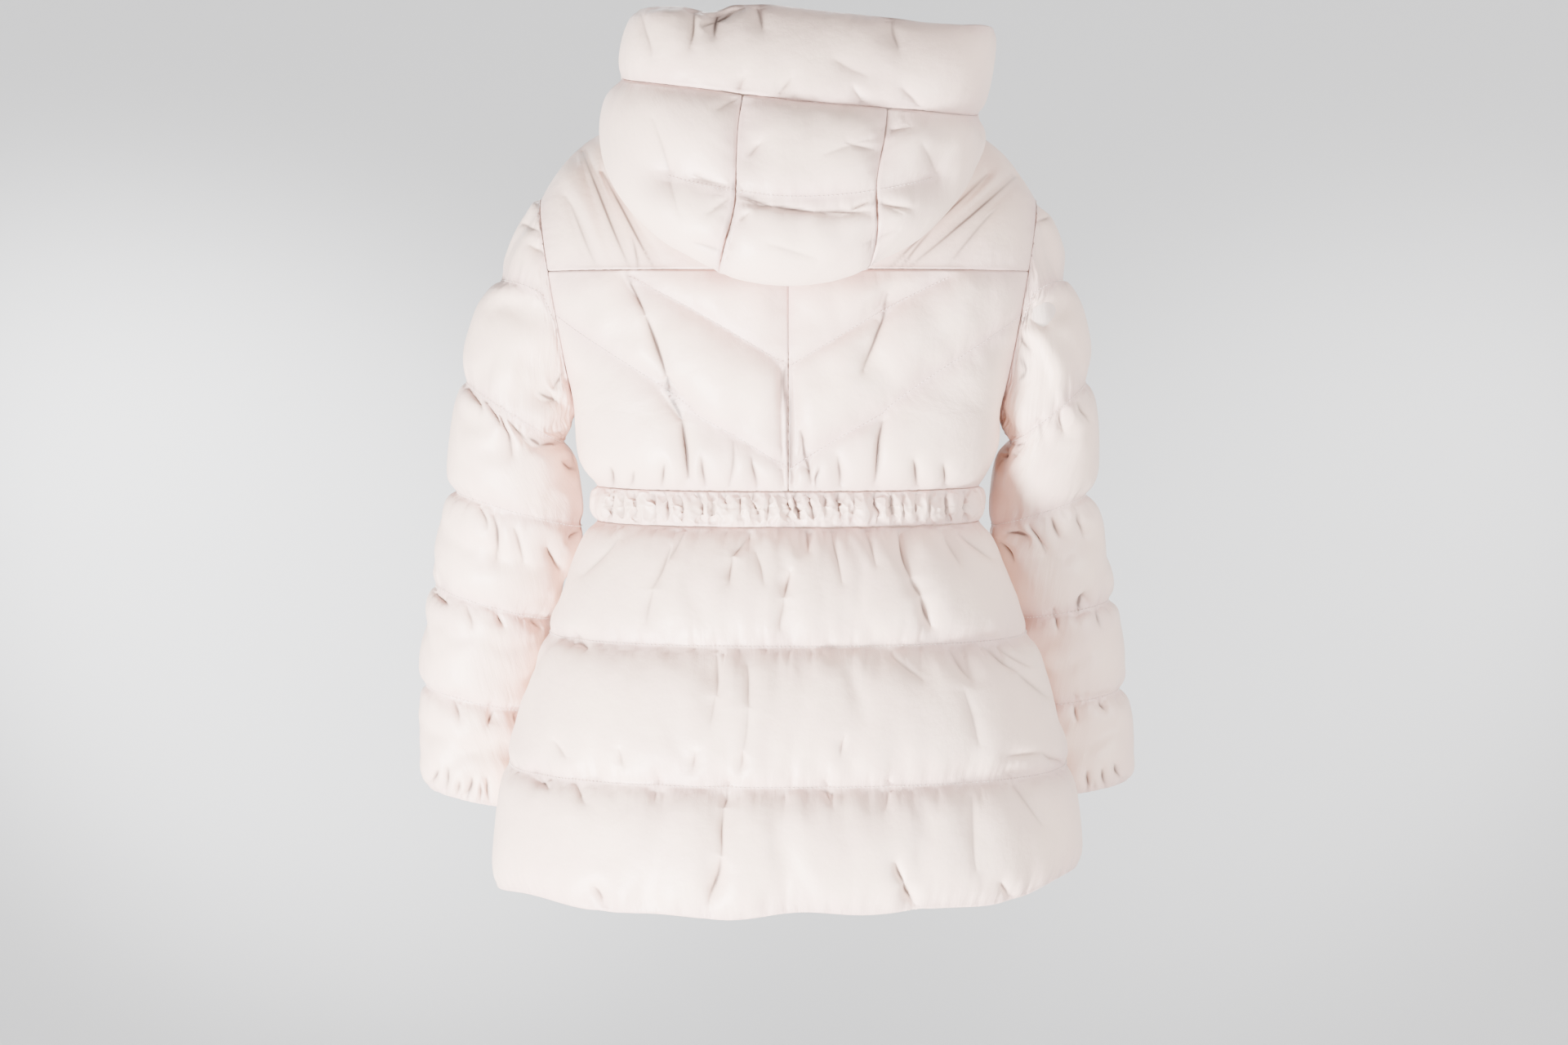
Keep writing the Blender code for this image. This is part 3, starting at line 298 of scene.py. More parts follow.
SLEEVE_CREASES = (
    (237, -220, 218, -229, 35, 80), (223, -214, 213, -200, 30, 60), (246, -263, 235, -269, 28, 80),
    (235, -269, 207, -264, 30, 90), (211, -285, 198, -294, 40, 70), (303, -216, 294, -234, 26, 40),
    (286, -229, 276, -250, 26, 50), (275, -240, 264, -278, 28, 60), (266, -245, 247, -268, 26, 40),
    (295, -327, 289, -348, 26, 40), (282, -335, 279, -378, 28, 60), (262, -349, 253, -381, 30, 40),
    (229, -369, 217, -390, 40, 60), (207, -360, 197, -351, 30, 60), (340, -409, 329, -420, 26, 50),
    (278, -431, 273, -443, 26, 50), (308, -423, 303, -445, 26, 30), (246, -435, 236, -446, 26, 40),
    (321, -513, 317, -532, 26, 40), (282, -525, 287, -538, 26, 50), (262, -524, 259, -538, 26, 40),
    (346, -595, 339, -583, 26, 50), (332, -601, 328, -580, 28, 50), (309, -612, 304, -591, 28, 60),
    (287, -613, 289, -591, 28, 50), (319, -607, 316, -594, 24, 40), (296, -613, 295, -597, 24, 40),
    (257, -56, 240, -63, 30, 30), (246, -78, 232, -87, 30, 30), (-232, -140, -245, -154, 32, 50),
    (-220, -154, -232, -144, 30, 50), (-220, -207, -227, -200, 30, 80), (-227, -200, -222, -186, 30, 70),
    (-218, -165, -231, -180, 32, 50), (-201, -271, -222, -267, 32, 80), (-204, -278, -214, -277, 28, 60),
    (-239, -245, -243, -265, 26, 40), (-259, -239, -264, -257, 26, 50), (-279, -228, -289, -246, 26, 40),
    (-207, -355, -228, -360, 32, 80), (-201, -364, -214, -382, 35, 60), (-279, -335, -284, -357, 26, 40),
    (-253, -339, -260, -359, 26, 50), (-230, -347, -247, -373, 28, 50), (-278, -429, -285, -414, 30, 70),
    (-297, -425, -302, -443, 26, 40), (-254, -429, -258, -446, 26, 40), (-300, -513, -306, -524, 26, 50),
    (-274, -519, -277, -534, 26, 40), (-321, -591, -316, -577, 26, 50), (-307, -599, -303, -582, 26, 50),
    (-289, -604, -288, -585, 26, 50), (-254, -48, -239, -55, 30, 30),
)
HOOD_CREASES = (
    (51, -30, 16, -40, 26, 60), (16, -40, -27, -46, 24, 50), (-27, -46, -80, -48, 24, 60), (92, -16, 58, -24, 24, 45),
    (-85, -38, -117, -44, 24, 40), (51, -19, 53, -34, 24, 60), (-58, -45, -76, -37, 24, 40), (27, 19, 37, 8, 24, 30),
    (47, -55, 39, -48, 24, 25), (53, -31, 58, -78, 30, 40), (53, -31, 19, -41, 26, 50), (-85, -37, -109, -48, 30, 28),
    (-56, 19, -82, 12, 30, 24), (-90, 31, -115, 34, 30, 21), (90, -12, 55, -30, 35, 35), (53, -31, 76, -48, 30, 28),
    (47, 62, 66, 51, 30, 21), (19, -78, -27, -92, 40, 17), (-74, -78, -105, -66, 35, 21), (129, 41, 105, -48, 50, 24),
    (-129, 16, -144, -12, 50, 21), (90, -78, 62, -87, 35, 28), (-35, 8, -76, 22, 35, 17),
)
BRIM_CREASES = (
    (80, 132, 50, 147, 45, 51), (93, 110, 89, 142, 45, 43), (70, 122, 68, 152, 60, 51), (47, 68, 41, 82, 35, 34),
    (8, 64, -3, 80, 35, 34), (-43, 98, -74, 82, 80, 30), (-62, 72, -70, 55, 35, 30), (-110, 70, -125, 52, 35, 30),
    (31, 152, 24, 128, 50, 34), (-98, 134, -104, 108, 60, 30), (140, 140, 132, 100, 70, 30),
)
FRONT_CREASES = (
    (42, -108, 50, -142, 30, 35), (88, -107, 84, -130, 28, 35), (121, -108, 134, -151, 32, 40),
    (-36, -108, -41, -133, 28, 35), (-79, -108, -71, -148, 32, 40), (-132, -108, -129, -136, 28, 35),
    (31, -209, 34, -232, 28, 35), (73, -209, 81, -252, 32, 45), (149, -209, 140, -238, 30, 40),
    (-52, -209, -49, -240, 30, 40), (-101, -209, -110, -246, 30, 40), (-160, -209, -151, -231, 28, 35),
    (24, -306, 28, -276, 30, 45), (59, -306, 56, -263, 30, 50), (98, -306, 103, -281, 28, 40),
    (131, -306, 128, -270, 30, 45), (-33, -306, -29, -268, 30, 50), (-71, -306, -74, -283, 28, 40),
    (-108, -306, -102, -262, 30, 50), (-141, -306, -144, -284, 28, 40), (95, -180, 89, -204, 28, 30),
    (-90, -184, -97, -204, 28, 30), (196, -190, 168, -214, 32, 45), (-196, -186, -170, -206, 32, 45),
    (150, -62, 122, -98, 32, 30), (-142, -58, -118, -98, 32, 30),
)
CREASE_UNITS = (1000, 1000, 1000, 1000, 10000, 10000)
CREASES = (
    ("upper_back", UPPER_CREASES), ("back_yoke", YOKE_CREASES), ("waistband", BAND_CREASES),
    ("skirt", SKIRT_CREASES), ("sleeve", SLEEVE_CREASES), ("hood_brim", BRIM_CREASES), ("hood", HOOD_CREASES),
    ("front_upper", FRONT_CREASES),
)

# How far the brim's top edge rises over its line on the back: x, rise
BRIM_EDGE = ((0.13, 0.0), (0.092, 0.0), (0.068, -0.005), (0.050, 0.004), (0.016, 0.007), (-0.037, 0.004),
             (-0.099, 0.001), (-0.147, -0.004), (-0.19, 0.0))

# How far its corner on the wearer's right stands out and up
BRIM_CORNER = (0.011, 0.005)

# The camera: its place, which is also where the creases are seen from, what it looks at, lens and sensor
VIEW_FROM = (0.0039, 2.8, -0.17)
VIEW_AT = (0.0039, 0, -0.343)
LENS = 67.3
SENSOR = 36

# Creases: scale of their depth, its sharp share, how much wider the soft rest is, and their gentle bend as a
# share of half their width
CREASE_SCALE = 1.35
CREASE_SHARP = 0.6
CREASE_SOFT_WIDTH = 3.2
CREASE_BEND = 0.14

# Their dark lines of painted shade: half width, painted shade beside them, depth for a full tone, palest and darkest
# tone, and the cap
CREASE_PAINTED_LINE = 0.0013
CREASE_PAINTED_HALO = 0.3
CREASE_FULL = 0.011
CREASE_TONES = (0.15, 0.75)
DARKEST_PAINTED_SHADE = 0.9

# How far creases may press in: share of what the cloth stands out, room beside a seam and more away from it,
# and how far from the seam it is all there
PRESS_SHARE = 0.92
PRESS_ROOM = 0.0010
PRESS_MORE = 0.0012
PRESS_REACH = 0.004

# How near the creases the cells are cut smaller, twice over, where they face the view and stand out this much
REFINED = (0.009, 0.0028)
REFINED_FACING = 0.15
REFINED_STAND = 0.0005

# Pieces whose creases have darker lines of painted shade than the others, and how much darker
CREASE_PAINTED_SHADE = (("upper_back", 2.0), ("waistband", 1.5), ("hood", 1.5), ("sleeve", 1.5), ("back_yoke", 1.2))

# Section of a tape, with its cord beside the teeth: x, and how far out as a share of the thickness
TAPE_SECTION = ((-TAPE_HALF, -0.25), (-0.0018, -0.25), (-0.0015, -0.42), (-0.0010, -0.42), (-0.0002, -0.25),
                (-0.0002, 0.25), (-TAPE_HALF, 0.25))
TAPE_STEP = 0.004

# Teeth of the zip: distance from one to the next on a side, depth, how far and how soon they part above the
# slider, half their height as a share of the pitch, and foot and face as depth, inner x, outer x, share of height
TOOTH_PITCH = 0.0024
TOOTH_DEPTH = 0.0013
TOOTH_PARTED = 0.0012
TOOTH_PARTING = 0.02
TOOTH_HALF = 0.27
TOOTH_ENDS = ((0.0, -0.0008, 0.0020, 1.0), (TOOTH_DEPTH, -0.0005, 0.0016, 0.7))

# Stitches: length, distance from one to the next, and half width of the thread
STITCH_LENGTH = 0.0032
STITCH_PITCH = 0.0040
STITCH_RADIUS = 0.0004

# Ribs of the thread and of the zip's tape
TWIST = {"Scale": 900.0, "Distortion": 1.5, "Detail": 1.0}
TWILL = {"Scale": 330.0, "Distortion": 0.4}

# Colours: red, green, blue
THREAD = (0.97, 0.86, 0.80)
SHELL = (0.92, 0.69, 0.572)
# Painted shade beside the stitches, and a tone that varies at random in patches: the cloth's colour is mixed towards
# this
SHELL_PATCHES_AND_PAINTED_SEAM_SHADE = (0.74, 0.51, 0.46)
# Painted shade in the creases and puckers: the cloth darkens towards this along them
SHELL_PAINTED_CREASE_SHADE = (0.09, 0.05, 0.042)
LINING = (0.80, 0.66, 0.59)
TAPE = (0.78, 0.64, 0.57)
METAL = (0.66, 0.64, 0.61)
BACKDROP = (0.72, 0.725, 0.735)
SKY = (0.93, 0.96, 1.0)

# Studio: height and radius of the floor, the wall's bend and top, and their turns and steps
FLOOR_Z = -3.0
FLOOR_RADIUS = 4.2
WALL_BEND = 2.2
WALL_TOP = 7.0
WALL_TURNS = 64
BEND_STEPS = 12

# Light from all round, size of the spots' bulbs, and lights as name, kind, place, target, size in
# metres or a spot's angle, power and colour
WORLD_LIGHT = 0.19
SPOT_SOFTNESS = 0.4
LIGHTS = (
    ("key", "AREA", (1.9, 2.2, -2.0), (0, 0, -0.4), 0.8, 815, (1.0, 0.985, 0.965)),
    ("fill", "AREA", (-2.7, 2.5, -0.6), (0, 0, -0.3), 1.4, 200, (1.0, 0.98, 0.97)),
    ("front", "AREA", (0.5, -3.0, 2.4), (0, 0, -0.3), 1.8, 120, (1.0, 1.0, 1.0)),
    ("top", "AREA", (0.0, 0.8, 2.8), (0, 0, -0.3), 2.0, 14, (1.0, 1.0, 1.0)),
    ("wall_left", "SPOT", (3.0, -3.5, 0.9), (1.5, -6.3, -1.0), 0.75, 1850, (1.0, 1.0, 1.0)),
    ("wall_right", "SPOT", (-3.0, -3.5, 0.9), (-1.5, -6.3, -1.0), 0.75, 820, (1.0, 1.0, 1.0)),
)


def for_piece(table, node, otherwise):
    """What a table gives for a piece, by the start of its name."""
    return next((value for start, value in table if node.startswith(start)), otherwise)


def lerp(start, end, share):
    """A value or place part of the way from one to another."""
    return start + (end - start) * share


def smooth(share):
    """An even share turned into one that starts and ends gently."""
    share = np.clip(share, 0.0, 1.0)
    return share * share * (3 - 2 * share)


def unit(vectors):
    """The same directions with length 1."""
    return vectors / np.linalg.norm(vectors, axis=-1, keepdims=True)


def stack(x, y, z):
    return np.stack(np.broadcast_arrays(x, y, z), axis=-1)


def body_size(z, column):
    """Reads a column of BODY at any height."""
    heights = [row[0] for row in reversed(BODY)]
    values = [row[column] for row in reversed(BODY)]
    return np.interp(z, heights, values)


def plan_radius(angle, half_width, depth, power=PLAN_POWER):
    """Distance from the Z axis to a rounded plan, at an angle from the Y axis."""
    across = np.abs(np.sin(angle)) / half_width
    along = np.abs(np.cos(angle)) / depth
    return (across ** power + along ** power) ** (-1 / power)


def plan_normal(x, y, half_width, depth, power=PLAN_POWER):
    across = np.sign(x) * (np.abs(x) / half_width) ** (power - 1) / half_width
    along = np.sign(y) * (np.abs(y) / depth) ** (power - 1) / depth
    return unit(stack(across, along, np.zeros_like(across)))


def body_ring(z, angle, inset=0.0):
    """Points round the body at a height; angle 0 is the middle of the back."""
    half_width = body_size(z, 1) - inset
    depth = np.where(np.cos(angle) >= 0, body_size(z, 2), body_size(z, 3)) - inset
    radius = plan_radius(angle, half_width, depth)
    x = radius * np.sin(angle)
    y = radius * np.cos(angle)
    return stack(x, y, z), plan_normal(x, y, half_width, depth)


def loft_round(angle):
    """Filling height at an angle round the body: full at the back, less at the sides."""
    middle = np.where(np.cos(angle) >= 0, BACK_LOFT, FRONT_LOFT)
    return SIDE_LOFT + (middle - SIDE_LOFT) * np.cos(angle) ** 2


def edge_fade(distance, reach):
    """0 on a sewn edge, 1 well away from it."""
    return 1 - np.exp(-np.abs(distance) / reach)


def hem_drop(angle):
    """The hem isn't quite level: it rises on the wearer's right, and dips here and there."""
    tilt = HEM_TILT * np.clip(-np.sin(angle), 0, 1) ** 3
    return tilt + 0.0025 * np.sin(5 * angle + 2.6) + 0.002 * np.sin(11 * angle + 2.0)


def settle_front_edge(inside, outside):
    """Sets the edge beside the zip on its plane."""
    for grid in (inside, outside):
        side = np.sign(grid[0, 1, 0])
        grid[:, 0, 0] = side * FRONT_EDGE_X


def armhole_edge(z, inset):
    """Where the body's wall meets the armhole, or the side seam below it: x and y."""
    depth = ARMHOLE_HALF_DEPTH - inset
    drop = ARMHOLE_DROP - inset
    fall = np.clip((YOKE_Z - z) / drop, 0, 1)
    y = depth * np.sqrt(np.clip(1 - fall ** 2, 0, 1))
    above = z > UNDERARM_Z + inset
    plane = ARMHOLE_X + ARMHOLE_LEAN * z - GAP / 2
    x = np.where(above, plane, body_size(z, 1) - inset)
    return x, np.maximum(np.where(above, y, 0.0), GAP / 2)


def chest_section(z, across, back, inset):
    """Level sections from the middle to the armhole or the side seam; across runs 0 to 1."""
    lift = np.interp(z, (WAIST_TOP_Z, UNDERARM_Z, YOKE_Z), (0, 1, 0)) * inset * across ** 2
    z = z + lift
    edge_x, edge_y = armhole_edge(z, inset)
    depth = body_size(z, 2 if back else 3) - inset
    half_width = edge_x / (1 - (edge_y / depth) ** PLAN_POWER) ** (1 / PLAN_POWER)
    first = 0.0 if back else np.arcsin(FRONT_EDGE_X / depth)
    angle = lerp(first, np.arctan2(edge_x, edge_y), across)
    radius = plan_radius(angle, half_width, depth)
    x = radius * np.sin(angle)
    y = radius * np.cos(angle)
    return stack(x, y, z), plan_normal(x, y, half_width, depth)


def neck_ring(angle, inset=0.0):
    """The neckline; angle 0 is the nape. Its halves lie on two planes that meet at the sides."""
    half_width = NECK_HALF + inset
    depth = np.where(np.cos(angle) >= 0, NECK_BACK, NECK_FRONT) + inset
    radius = plan_radius(angle, half_width, depth, 2.0)
    x = radius * np.sin(angle)
    y = radius * np.cos(angle)
    back = NECK_SIDE_Z + (NECK_BACK_Z - NECK_SIDE_Z) * y / NECK_BACK
    front = NECK_SIDE_Z + (NECK_FRONT_Z - NECK_SIDE_Z) * -y / NECK_FRONT
    return stack(x, y, np.where(y >= 0, back, front))


def top_edge(across, back, inset):
    """Neckline, then the shoulder seam out to the armhole; across runs 0 to 1."""
    turn = math.pi / 2
    share = np.clip(across / NECK_SHARE, 0, 1)
    first = 0.0 if back else np.arcsin(FRONT_EDGE_X / NECK_FRONT)
    angle = lerp(first, turn, share)
    ring = neck_ring(angle if back else math.pi - angle, NECK_WALL - inset * NECK_WALL / SEAM_WALL)
    tip_z = YOKE_Z + ARMHOLE_RISE - inset
    tip_x = ARMHOLE_X + ARMHOLE_LEAN * tip_z - GAP / 2
    out = np.clip((across - NECK_SHARE) / (1 - NECK_SHARE), 0, 1)
    x = lerp(ring[..., 0], tip_x, out)
    y = np.maximum(np.abs(ring[..., 1]), GAP / 2)
    raised = SHOULDER_BOW * np.sin(math.pi * out ** SHOULDER_SKEW)
    z = lerp(ring[..., 2] - GAP / 2, tip_z, out) + raised
    return stack(x, y, z)


def shoulder_arc(rise, across, back, inset, base_z):
    """Rows from the chest's top section over to the shoulder seam and neckline; rise runs 0 to 1."""
    start, start_normal = chest_section(YOKE_Z + 0 * rise * across, across + 0 * rise, back, inset)
    end = top_edge(across + 0 * rise, back, inset)
    spread = smooth((across - NECK_SHARE) / (1 - NECK_SHARE))
    furthest = lerp(NECK_ARC, math.pi / 2, spread)
    arc = furthest * rise
    climb = np.sin(arc) / np.sin(furthest)
    level = (np.cos(arc) - np.cos(furthest)) / (1 - np.cos(furthest))
    x = lerp(start[..., 0], end[..., 0], climb)
    y = end[..., 1] + (start[..., 1] - end[..., 1]) * level
    z = lerp(base_z, end[..., 2], climb)
    return stack(x, y, z), start_normal


def grid_normals(points):
    """Normals of a grid of points, by differences along its rows and columns."""
    along = np.gradient(points, axis=0)
    across = np.gradient(points, axis=1)
    return unit(np.cross(across, along))


def step_normals(surface, stations, angles, step=0.002):
    """Outward normals of the hood's inside surface, by small steps along and round it."""
    along = surface(stations + step, angles) - surface(stations - step, angles)
    across = surface(stations, angles + step) - surface(stations, angles - step)
    return unit(np.cross(along, across))


def behind_armhole(grid):
    """Keeps the body's points, worked out for the left side, on their side of the armhole."""
    limit = ARMHOLE_X + ARMHOLE_LEAN * grid[..., 2] - GAP / 2
    grid[..., 0] = np.minimum(grid[..., 0], limit)


def side_weight(z):
    """1 beside the armhole, 0 along the side seam below it."""
    return smooth((z - UNDERARM_Z + 0.05) / 0.045)


def face_side(points, side, back):
    """Turns points worked out for the wearer's left back to the side and face asked for."""
    turned = points.copy()
    turned[..., 0] *= side
    turned[..., 1] *= 1 if back else -1
    return turned


def ellipse_normal(turn, half_across, half_depth, axis):
    """Outward normal of a ring in its own plane, spanned by axis and Y."""
    across = np.cos(turn) / half_across
    along = np.sin(turn) / half_depth
    length = np.hypot(across, along)
    return (across / length)[..., None] * axis + (along / length)[..., None] * np.array((0, 1.0, 0))


def armhole_ring(turn, inset):
    """The armhole as a ring; turn 0 is the shoulder and half a turn the underarm."""
    rise = np.where(np.cos(turn) >= 0, ARMHOLE_RISE, ARMHOLE_DROP) - inset
    y = (ARMHOLE_HALF_DEPTH - inset) * np.sin(turn)
    z = YOKE_Z + rise * np.cos(turn)
    x = ARMHOLE_X + ARMHOLE_LEAN * z + GAP / 2
    axis = unit(np.array((ARMHOLE_LEAN, 0.0, 1.0)))
    return stack(x, y, z), ellipse_normal(turn, rise, ARMHOLE_HALF_DEPTH - inset, axis)


def sleeve_ring(row, turn, inset):
    """A stitched ring of the sleeve from a row of its table."""
    out_x, out_z, in_x, in_z, middle_y, half_depth = row
    middle = np.array(((out_x + in_x) / 2, middle_y, (out_z + in_z) / 2))
    reach = np.array(((out_x - in_x) / 2, 0.0, (out_z - in_z) / 2))
    half = np.linalg.norm(reach)
    axis = reach / half
    ring = middle + ((half - inset) * np.cos(turn))[..., None] * axis
    ring = ring + ((half_depth - inset) * np.sin(turn))[..., None] * np.array((0, 1.0, 0))
    return ring, ellipse_normal(turn, half, half_depth, axis)


def shoulder_height(x, y, clearance):
    """Height that keeps a place this far off the top of the body, for the hood to rest on."""
    tip_z = YOKE_Z + ARMHOLE_RISE
    tip_x = ARMHOLE_X + ARMHOLE_LEAN * tip_z
    reach = np.clip(np.abs(x), NECK_HALF, tip_x)
    out = (reach - NECK_HALF) / (tip_x - NECK_HALF)
    top = lerp(NECK_SIDE_Z, tip_z, out) + SHOULDER_BOW * np.sin(math.pi * out ** SHOULDER_SKEW)
    furthest = lerp(NECK_ARC, math.pi / 2, smooth(out))
    depth = np.where(y >= 0, body_size(YOKE_Z, 2), body_size(YOKE_Z, 3))
    edge_x = ARMHOLE_X + ARMHOLE_LEAN * YOKE_Z
    half_width = edge_x / (1 - (ARMHOLE_HALF_DEPTH / depth) ** PLAN_POWER) ** (1 / PLAN_POWER)
    edge_y = depth * (1 - (reach / half_width) ** PLAN_POWER) ** (1 / PLAN_POWER)
    level = np.clip(np.abs(y) / (edge_y + clearance), 0, 1)
    cosine = lerp(np.cos(furthest), 1.0, level)
    climb = np.sqrt(1 - cosine ** 2) / np.sin(furthest)
    return np.where(level < 1, YOKE_Z + (top + clearance - YOKE_Z) * climb, 2 * YOKE_Z)


def hood_value(station, column):
    """Reads a column of HOOD at a fractional station, on a smooth curve through its rows."""
    last = len(HOOD) - 1
    station = np.clip(station, 0, last)
    index = np.clip(np.floor(station).astype(int), 0, last - 1)
    share = station - index
    values = np.array([row[column] for row in HOOD])
    before = values[np.maximum(index - 1, 0)]
    here = values[index]
    after = values[index + 1]
    beyond = values[np.minimum(index + 2, last)]
    slope_here = (after - before) / 2
    slope_after = (beyond - here) / 2
    square = share * share
    cube = square * share
    return ((2 * cube - 3 * square + 1) * here + (cube - 2 * square + share) * slope_here
            + (-2 * cube + 3 * square) * after + (cube - square) * slope_after)


def hood_surface(station, angle):
    """Inside of the hood's wall; angle 0 is the back and +-180 degrees the front edge."""
    half_width = hood_value(station, 0)
    depth = np.where(np.cos(angle) >= 0, hood_value(station, 1), hood_value(station, 2))
    power = lerp(2.0, hood_value(station, 6), smooth((np.cos(angle) + 0.6) / 0.8))
    radius = plan_radius(angle, half_width, depth, power)
    x = radius * np.sin(angle)
    y = radius * np.cos(angle)
    pointed = smooth(np.minimum(station - 1.5, 8.5 - station) / 1.5)
    backward = np.clip(np.cos(angle), 0, 1) ** lerp(1.15, 1.8, pointed)
    forward = np.clip(-np.cos(angle), 0, 1) ** 2
    side_z = hood_value(station, 4)
    z = side_z + (hood_value(station, 3) - side_z) * backward + (hood_value(station, 5) - side_z) * forward
    facing = smooth((1 + np.cos(angle)) / 1.2)
    z = z + hood_value(station, 7) * x * smooth(2 * np.cos(angle))
    outer_leg = smooth((station - 3) / 6)
    x = x + HOOD_SHEAR * np.clip(z - HOOD_SHEAR_FROM_Z, 0, None) * facing * outer_leg
    resting = shoulder_height(x, y, HOOD_REST * smooth(station / 3))
    z = np.where(station > 1, np.maximum(z, resting), z)
    neck = neck_ring(angle)
    joined = np.exp(-((station / 0.5) ** 2))[..., None]
    return lerp(stack(x, y, z), neck, joined)


def front_angle(station):
    """Angle at which the hood's front edge stands beside the zip."""
    return math.pi - np.arcsin(FRONT_EDGE_X / hood_value(station, 2))


def gusset_angle(station):
    """Half the angle that the middle panel takes up; it narrows a little behind the nape."""
    pinch = GUSSET_PINCH * smooth(1 - np.abs(station - GUSSET_PINCH_STATION) / 2)
    return lerp(GUSSET_AT_NECK, GUSSET_AT_BRIM, np.clip(station / 5, 0, 1)) - pinch


def gusset_middle(station):
    """Angle of the middle panel's own middle: it twists towards the wearer's right."""
    return GUSSET_TWIST * smooth((station - 4) / 3)


def hood_wall(stations, angles, loft, lowest):
    """Inside and outside grids of part of the hood, for a thickness over each point."""
    inside = hood_surface(stations, angles)
    normal = step_normals(hood_surface, stations, angles)
    normal[..., 2] *= smooth(stations / 1.5)
    normal = unit(normal)
    outside = inside + normal * (lowest + loft)[..., None]
    clearance = HOOD_OVER_YOKE * smooth(stations / 3)
    outside[..., 2] = np.maximum(outside[..., 2], shoulder_height(outside[..., 0], outside[..., 1], clearance))
    return inside, outside


def closing_line():
    """Middle of the zip tape from the hem to the brim, as y and z."""
    low = np.array(ZIP_HEIGHTS)
    y = -(body_size(low, 3) - SEAM_WALL / 2)
    points = list(zip(y, low))
    rise = np.linspace(0, 0.9, 6)[:, None]
    zero = np.zeros((1, 1))
    outer, _ = shoulder_arc(rise, zero, False, 0.0, YOKE_Z)
    inner, _ = shoulder_arc(rise, zero, False, SEAM_WALL, YOKE_Z)
    middle = (outer + inner) / 2
    points += [(-row[0, 1], row[0, 2]) for row in middle]
    for station in ZIP_STATIONS:
        place = hood_surface(np.array([[station]]), np.array([[math.pi]]))[0, 0]
        points.append((place[1] - SEAM_WALL / 2, place[2]))
    return np.array(points)


def even_cells(length, cell=CELL):
    """An even number of cells over a length."""
    return max(2, 2 * int(round(length / cell / 2)))


def even_steps(length, cell=CELL):
    """Shares from 0 to 1 at the edges of these cells."""
    return np.linspace(0, 1, even_cells(length, cell) + 1)


def channel_grid(lines, cell=CELL):
    """Rows between the stitched lines: channel of each row, its share of the channel, and the stitched rows."""
    channels = [0]
    shares = [0.0]
    stitched = [0]
    for channel, (top, low) in enumerate(zip(lines, lines[1:])):
        count = even_cells(abs(top - low), cell)
        channels += [channel] * count
        shares += list(np.arange(1, count + 1) / count)
        stitched.append(len(shares) - 1)
    return np.array(channels)[:, None], np.array(shares)[:, None], stitched


def new_panel(node, base, normal, inside, height, tube=False, growth=GROWTH, least=0.0):
    """A panel of cloth before it is filled; its edges are sewn down."""
    sewn = np.zeros(base.shape[:2], bool)
    sewn[[0, -1]] = True
    if not tube:
        sewn[:, [0, -1]] = True
    return {"node": node, "base": base, "normal": normal, "inside": inside, "tube": tube, "sewn": sewn,
            "height": height * np.ones(base.shape[:2]), "growth": growth, "least": least, "diagonals": [],
            "seam_edges": [], "stitches": []}


def sew_row(panel, row, columns=slice(None)):
    """Sews a whole row, or some of its columns, down on its base."""
    panel["sewn"][row, columns] = True
    indices = np.arange(panel["base"].shape[1])[columns]
    panel["seam_edges"] += [((row, a), (row, b)) for a, b in zip(indices, indices[1:])]
    panel["stitches"].append((panel["base"][row, columns], panel["normal"][row, columns]))


def snapped_rows(values, target):
    """For each column, the row whose value is nearest to a target; values fall or rise evenly down it."""
    return np.argmin(np.abs(values - target[None, :]), axis=0)


def sew_line(panel, rows, columns):
    """Sews a slanting line: one row for each of the neighbouring columns."""
    panel["sewn"][rows, columns] = True
    for (row, column), (next_row, next_column) in zip(zip(rows, columns), zip(rows[1:], columns[1:])):
        panel["seam_edges"].append(((row, column), (next_row, next_column)))
        if row != next_row:
            panel["diagonals"].append((min(row, next_row), column, next_row > row))
    panel["stitches"].append((panel["base"][rows, columns], panel["normal"][rows, columns]))


def skirt_panel(node, start, end, front_edge=0):
    """One flared panel below the band, between two angles round the body."""
    cell = FRONT_CELL if front_edge else CELL
    columns = even_cells(abs(end - start) * SKIRT_RADIUS, cell)
    angle = np.linspace(start, end, columns + 1)[None, :]
    channel, share, stitched = channel_grid(SKIRT_LINES_Z, cell)
    z = lerp(np.array(SKIRT_LINES_Z)[channel], np.array(SKIRT_LINES_Z)[channel + 1], share) + 0 * angle
    z[0] -= GAP / 2
    z += np.where(channel == 2, share, 0.0) * hem_drop(angle)
    base, normal = body_ring(z, angle + 0 * z)
    inside, _ = body_ring(z, angle + 0 * z, SEAM_WALL)
    side = edge_fade(np.abs(np.sin(angle)) - 1.0, 0.02) * 0.4 + 0.6
    zip_edge = edge_fade(angle - front_edge, 0.10) if front_edge else 1.0
    if front_edge:
        settle_front_edge(inside, base)
    panel = new_panel(node, base, normal, inside, loft_round(angle) * side * zip_edge + 0 * z)
    for row in stitched[1:-1]:
        sew_row(panel, row)
    return panel


def band_panel(node, start, end, front_edge=False):
    """A stretch of the gathered elastic band."""
    columns = even_cells(abs(end - start) * BAND_RADIUS, BAND_CELL)
    angle = np.linspace(start, end, columns + 1)[None, :]
    share = even_steps(WAIST_TOP_Z - WAIST_LOW_Z, BAND_CELL)[:, None]
    z = lerp(WAIST_TOP_Z - GAP / 2, WAIST_LOW_Z + GAP / 2, share) + 0 * angle
    base, normal = body_ring(z, angle + 0 * z)
    inside, _ = body_ring(z, angle + 0 * z, SEAM_WALL)
    if front_edge:
        settle_front_edge(inside, base)
    return new_panel(node, base, normal, inside, BAND_LOFT, growth=BAND_GROWTH)


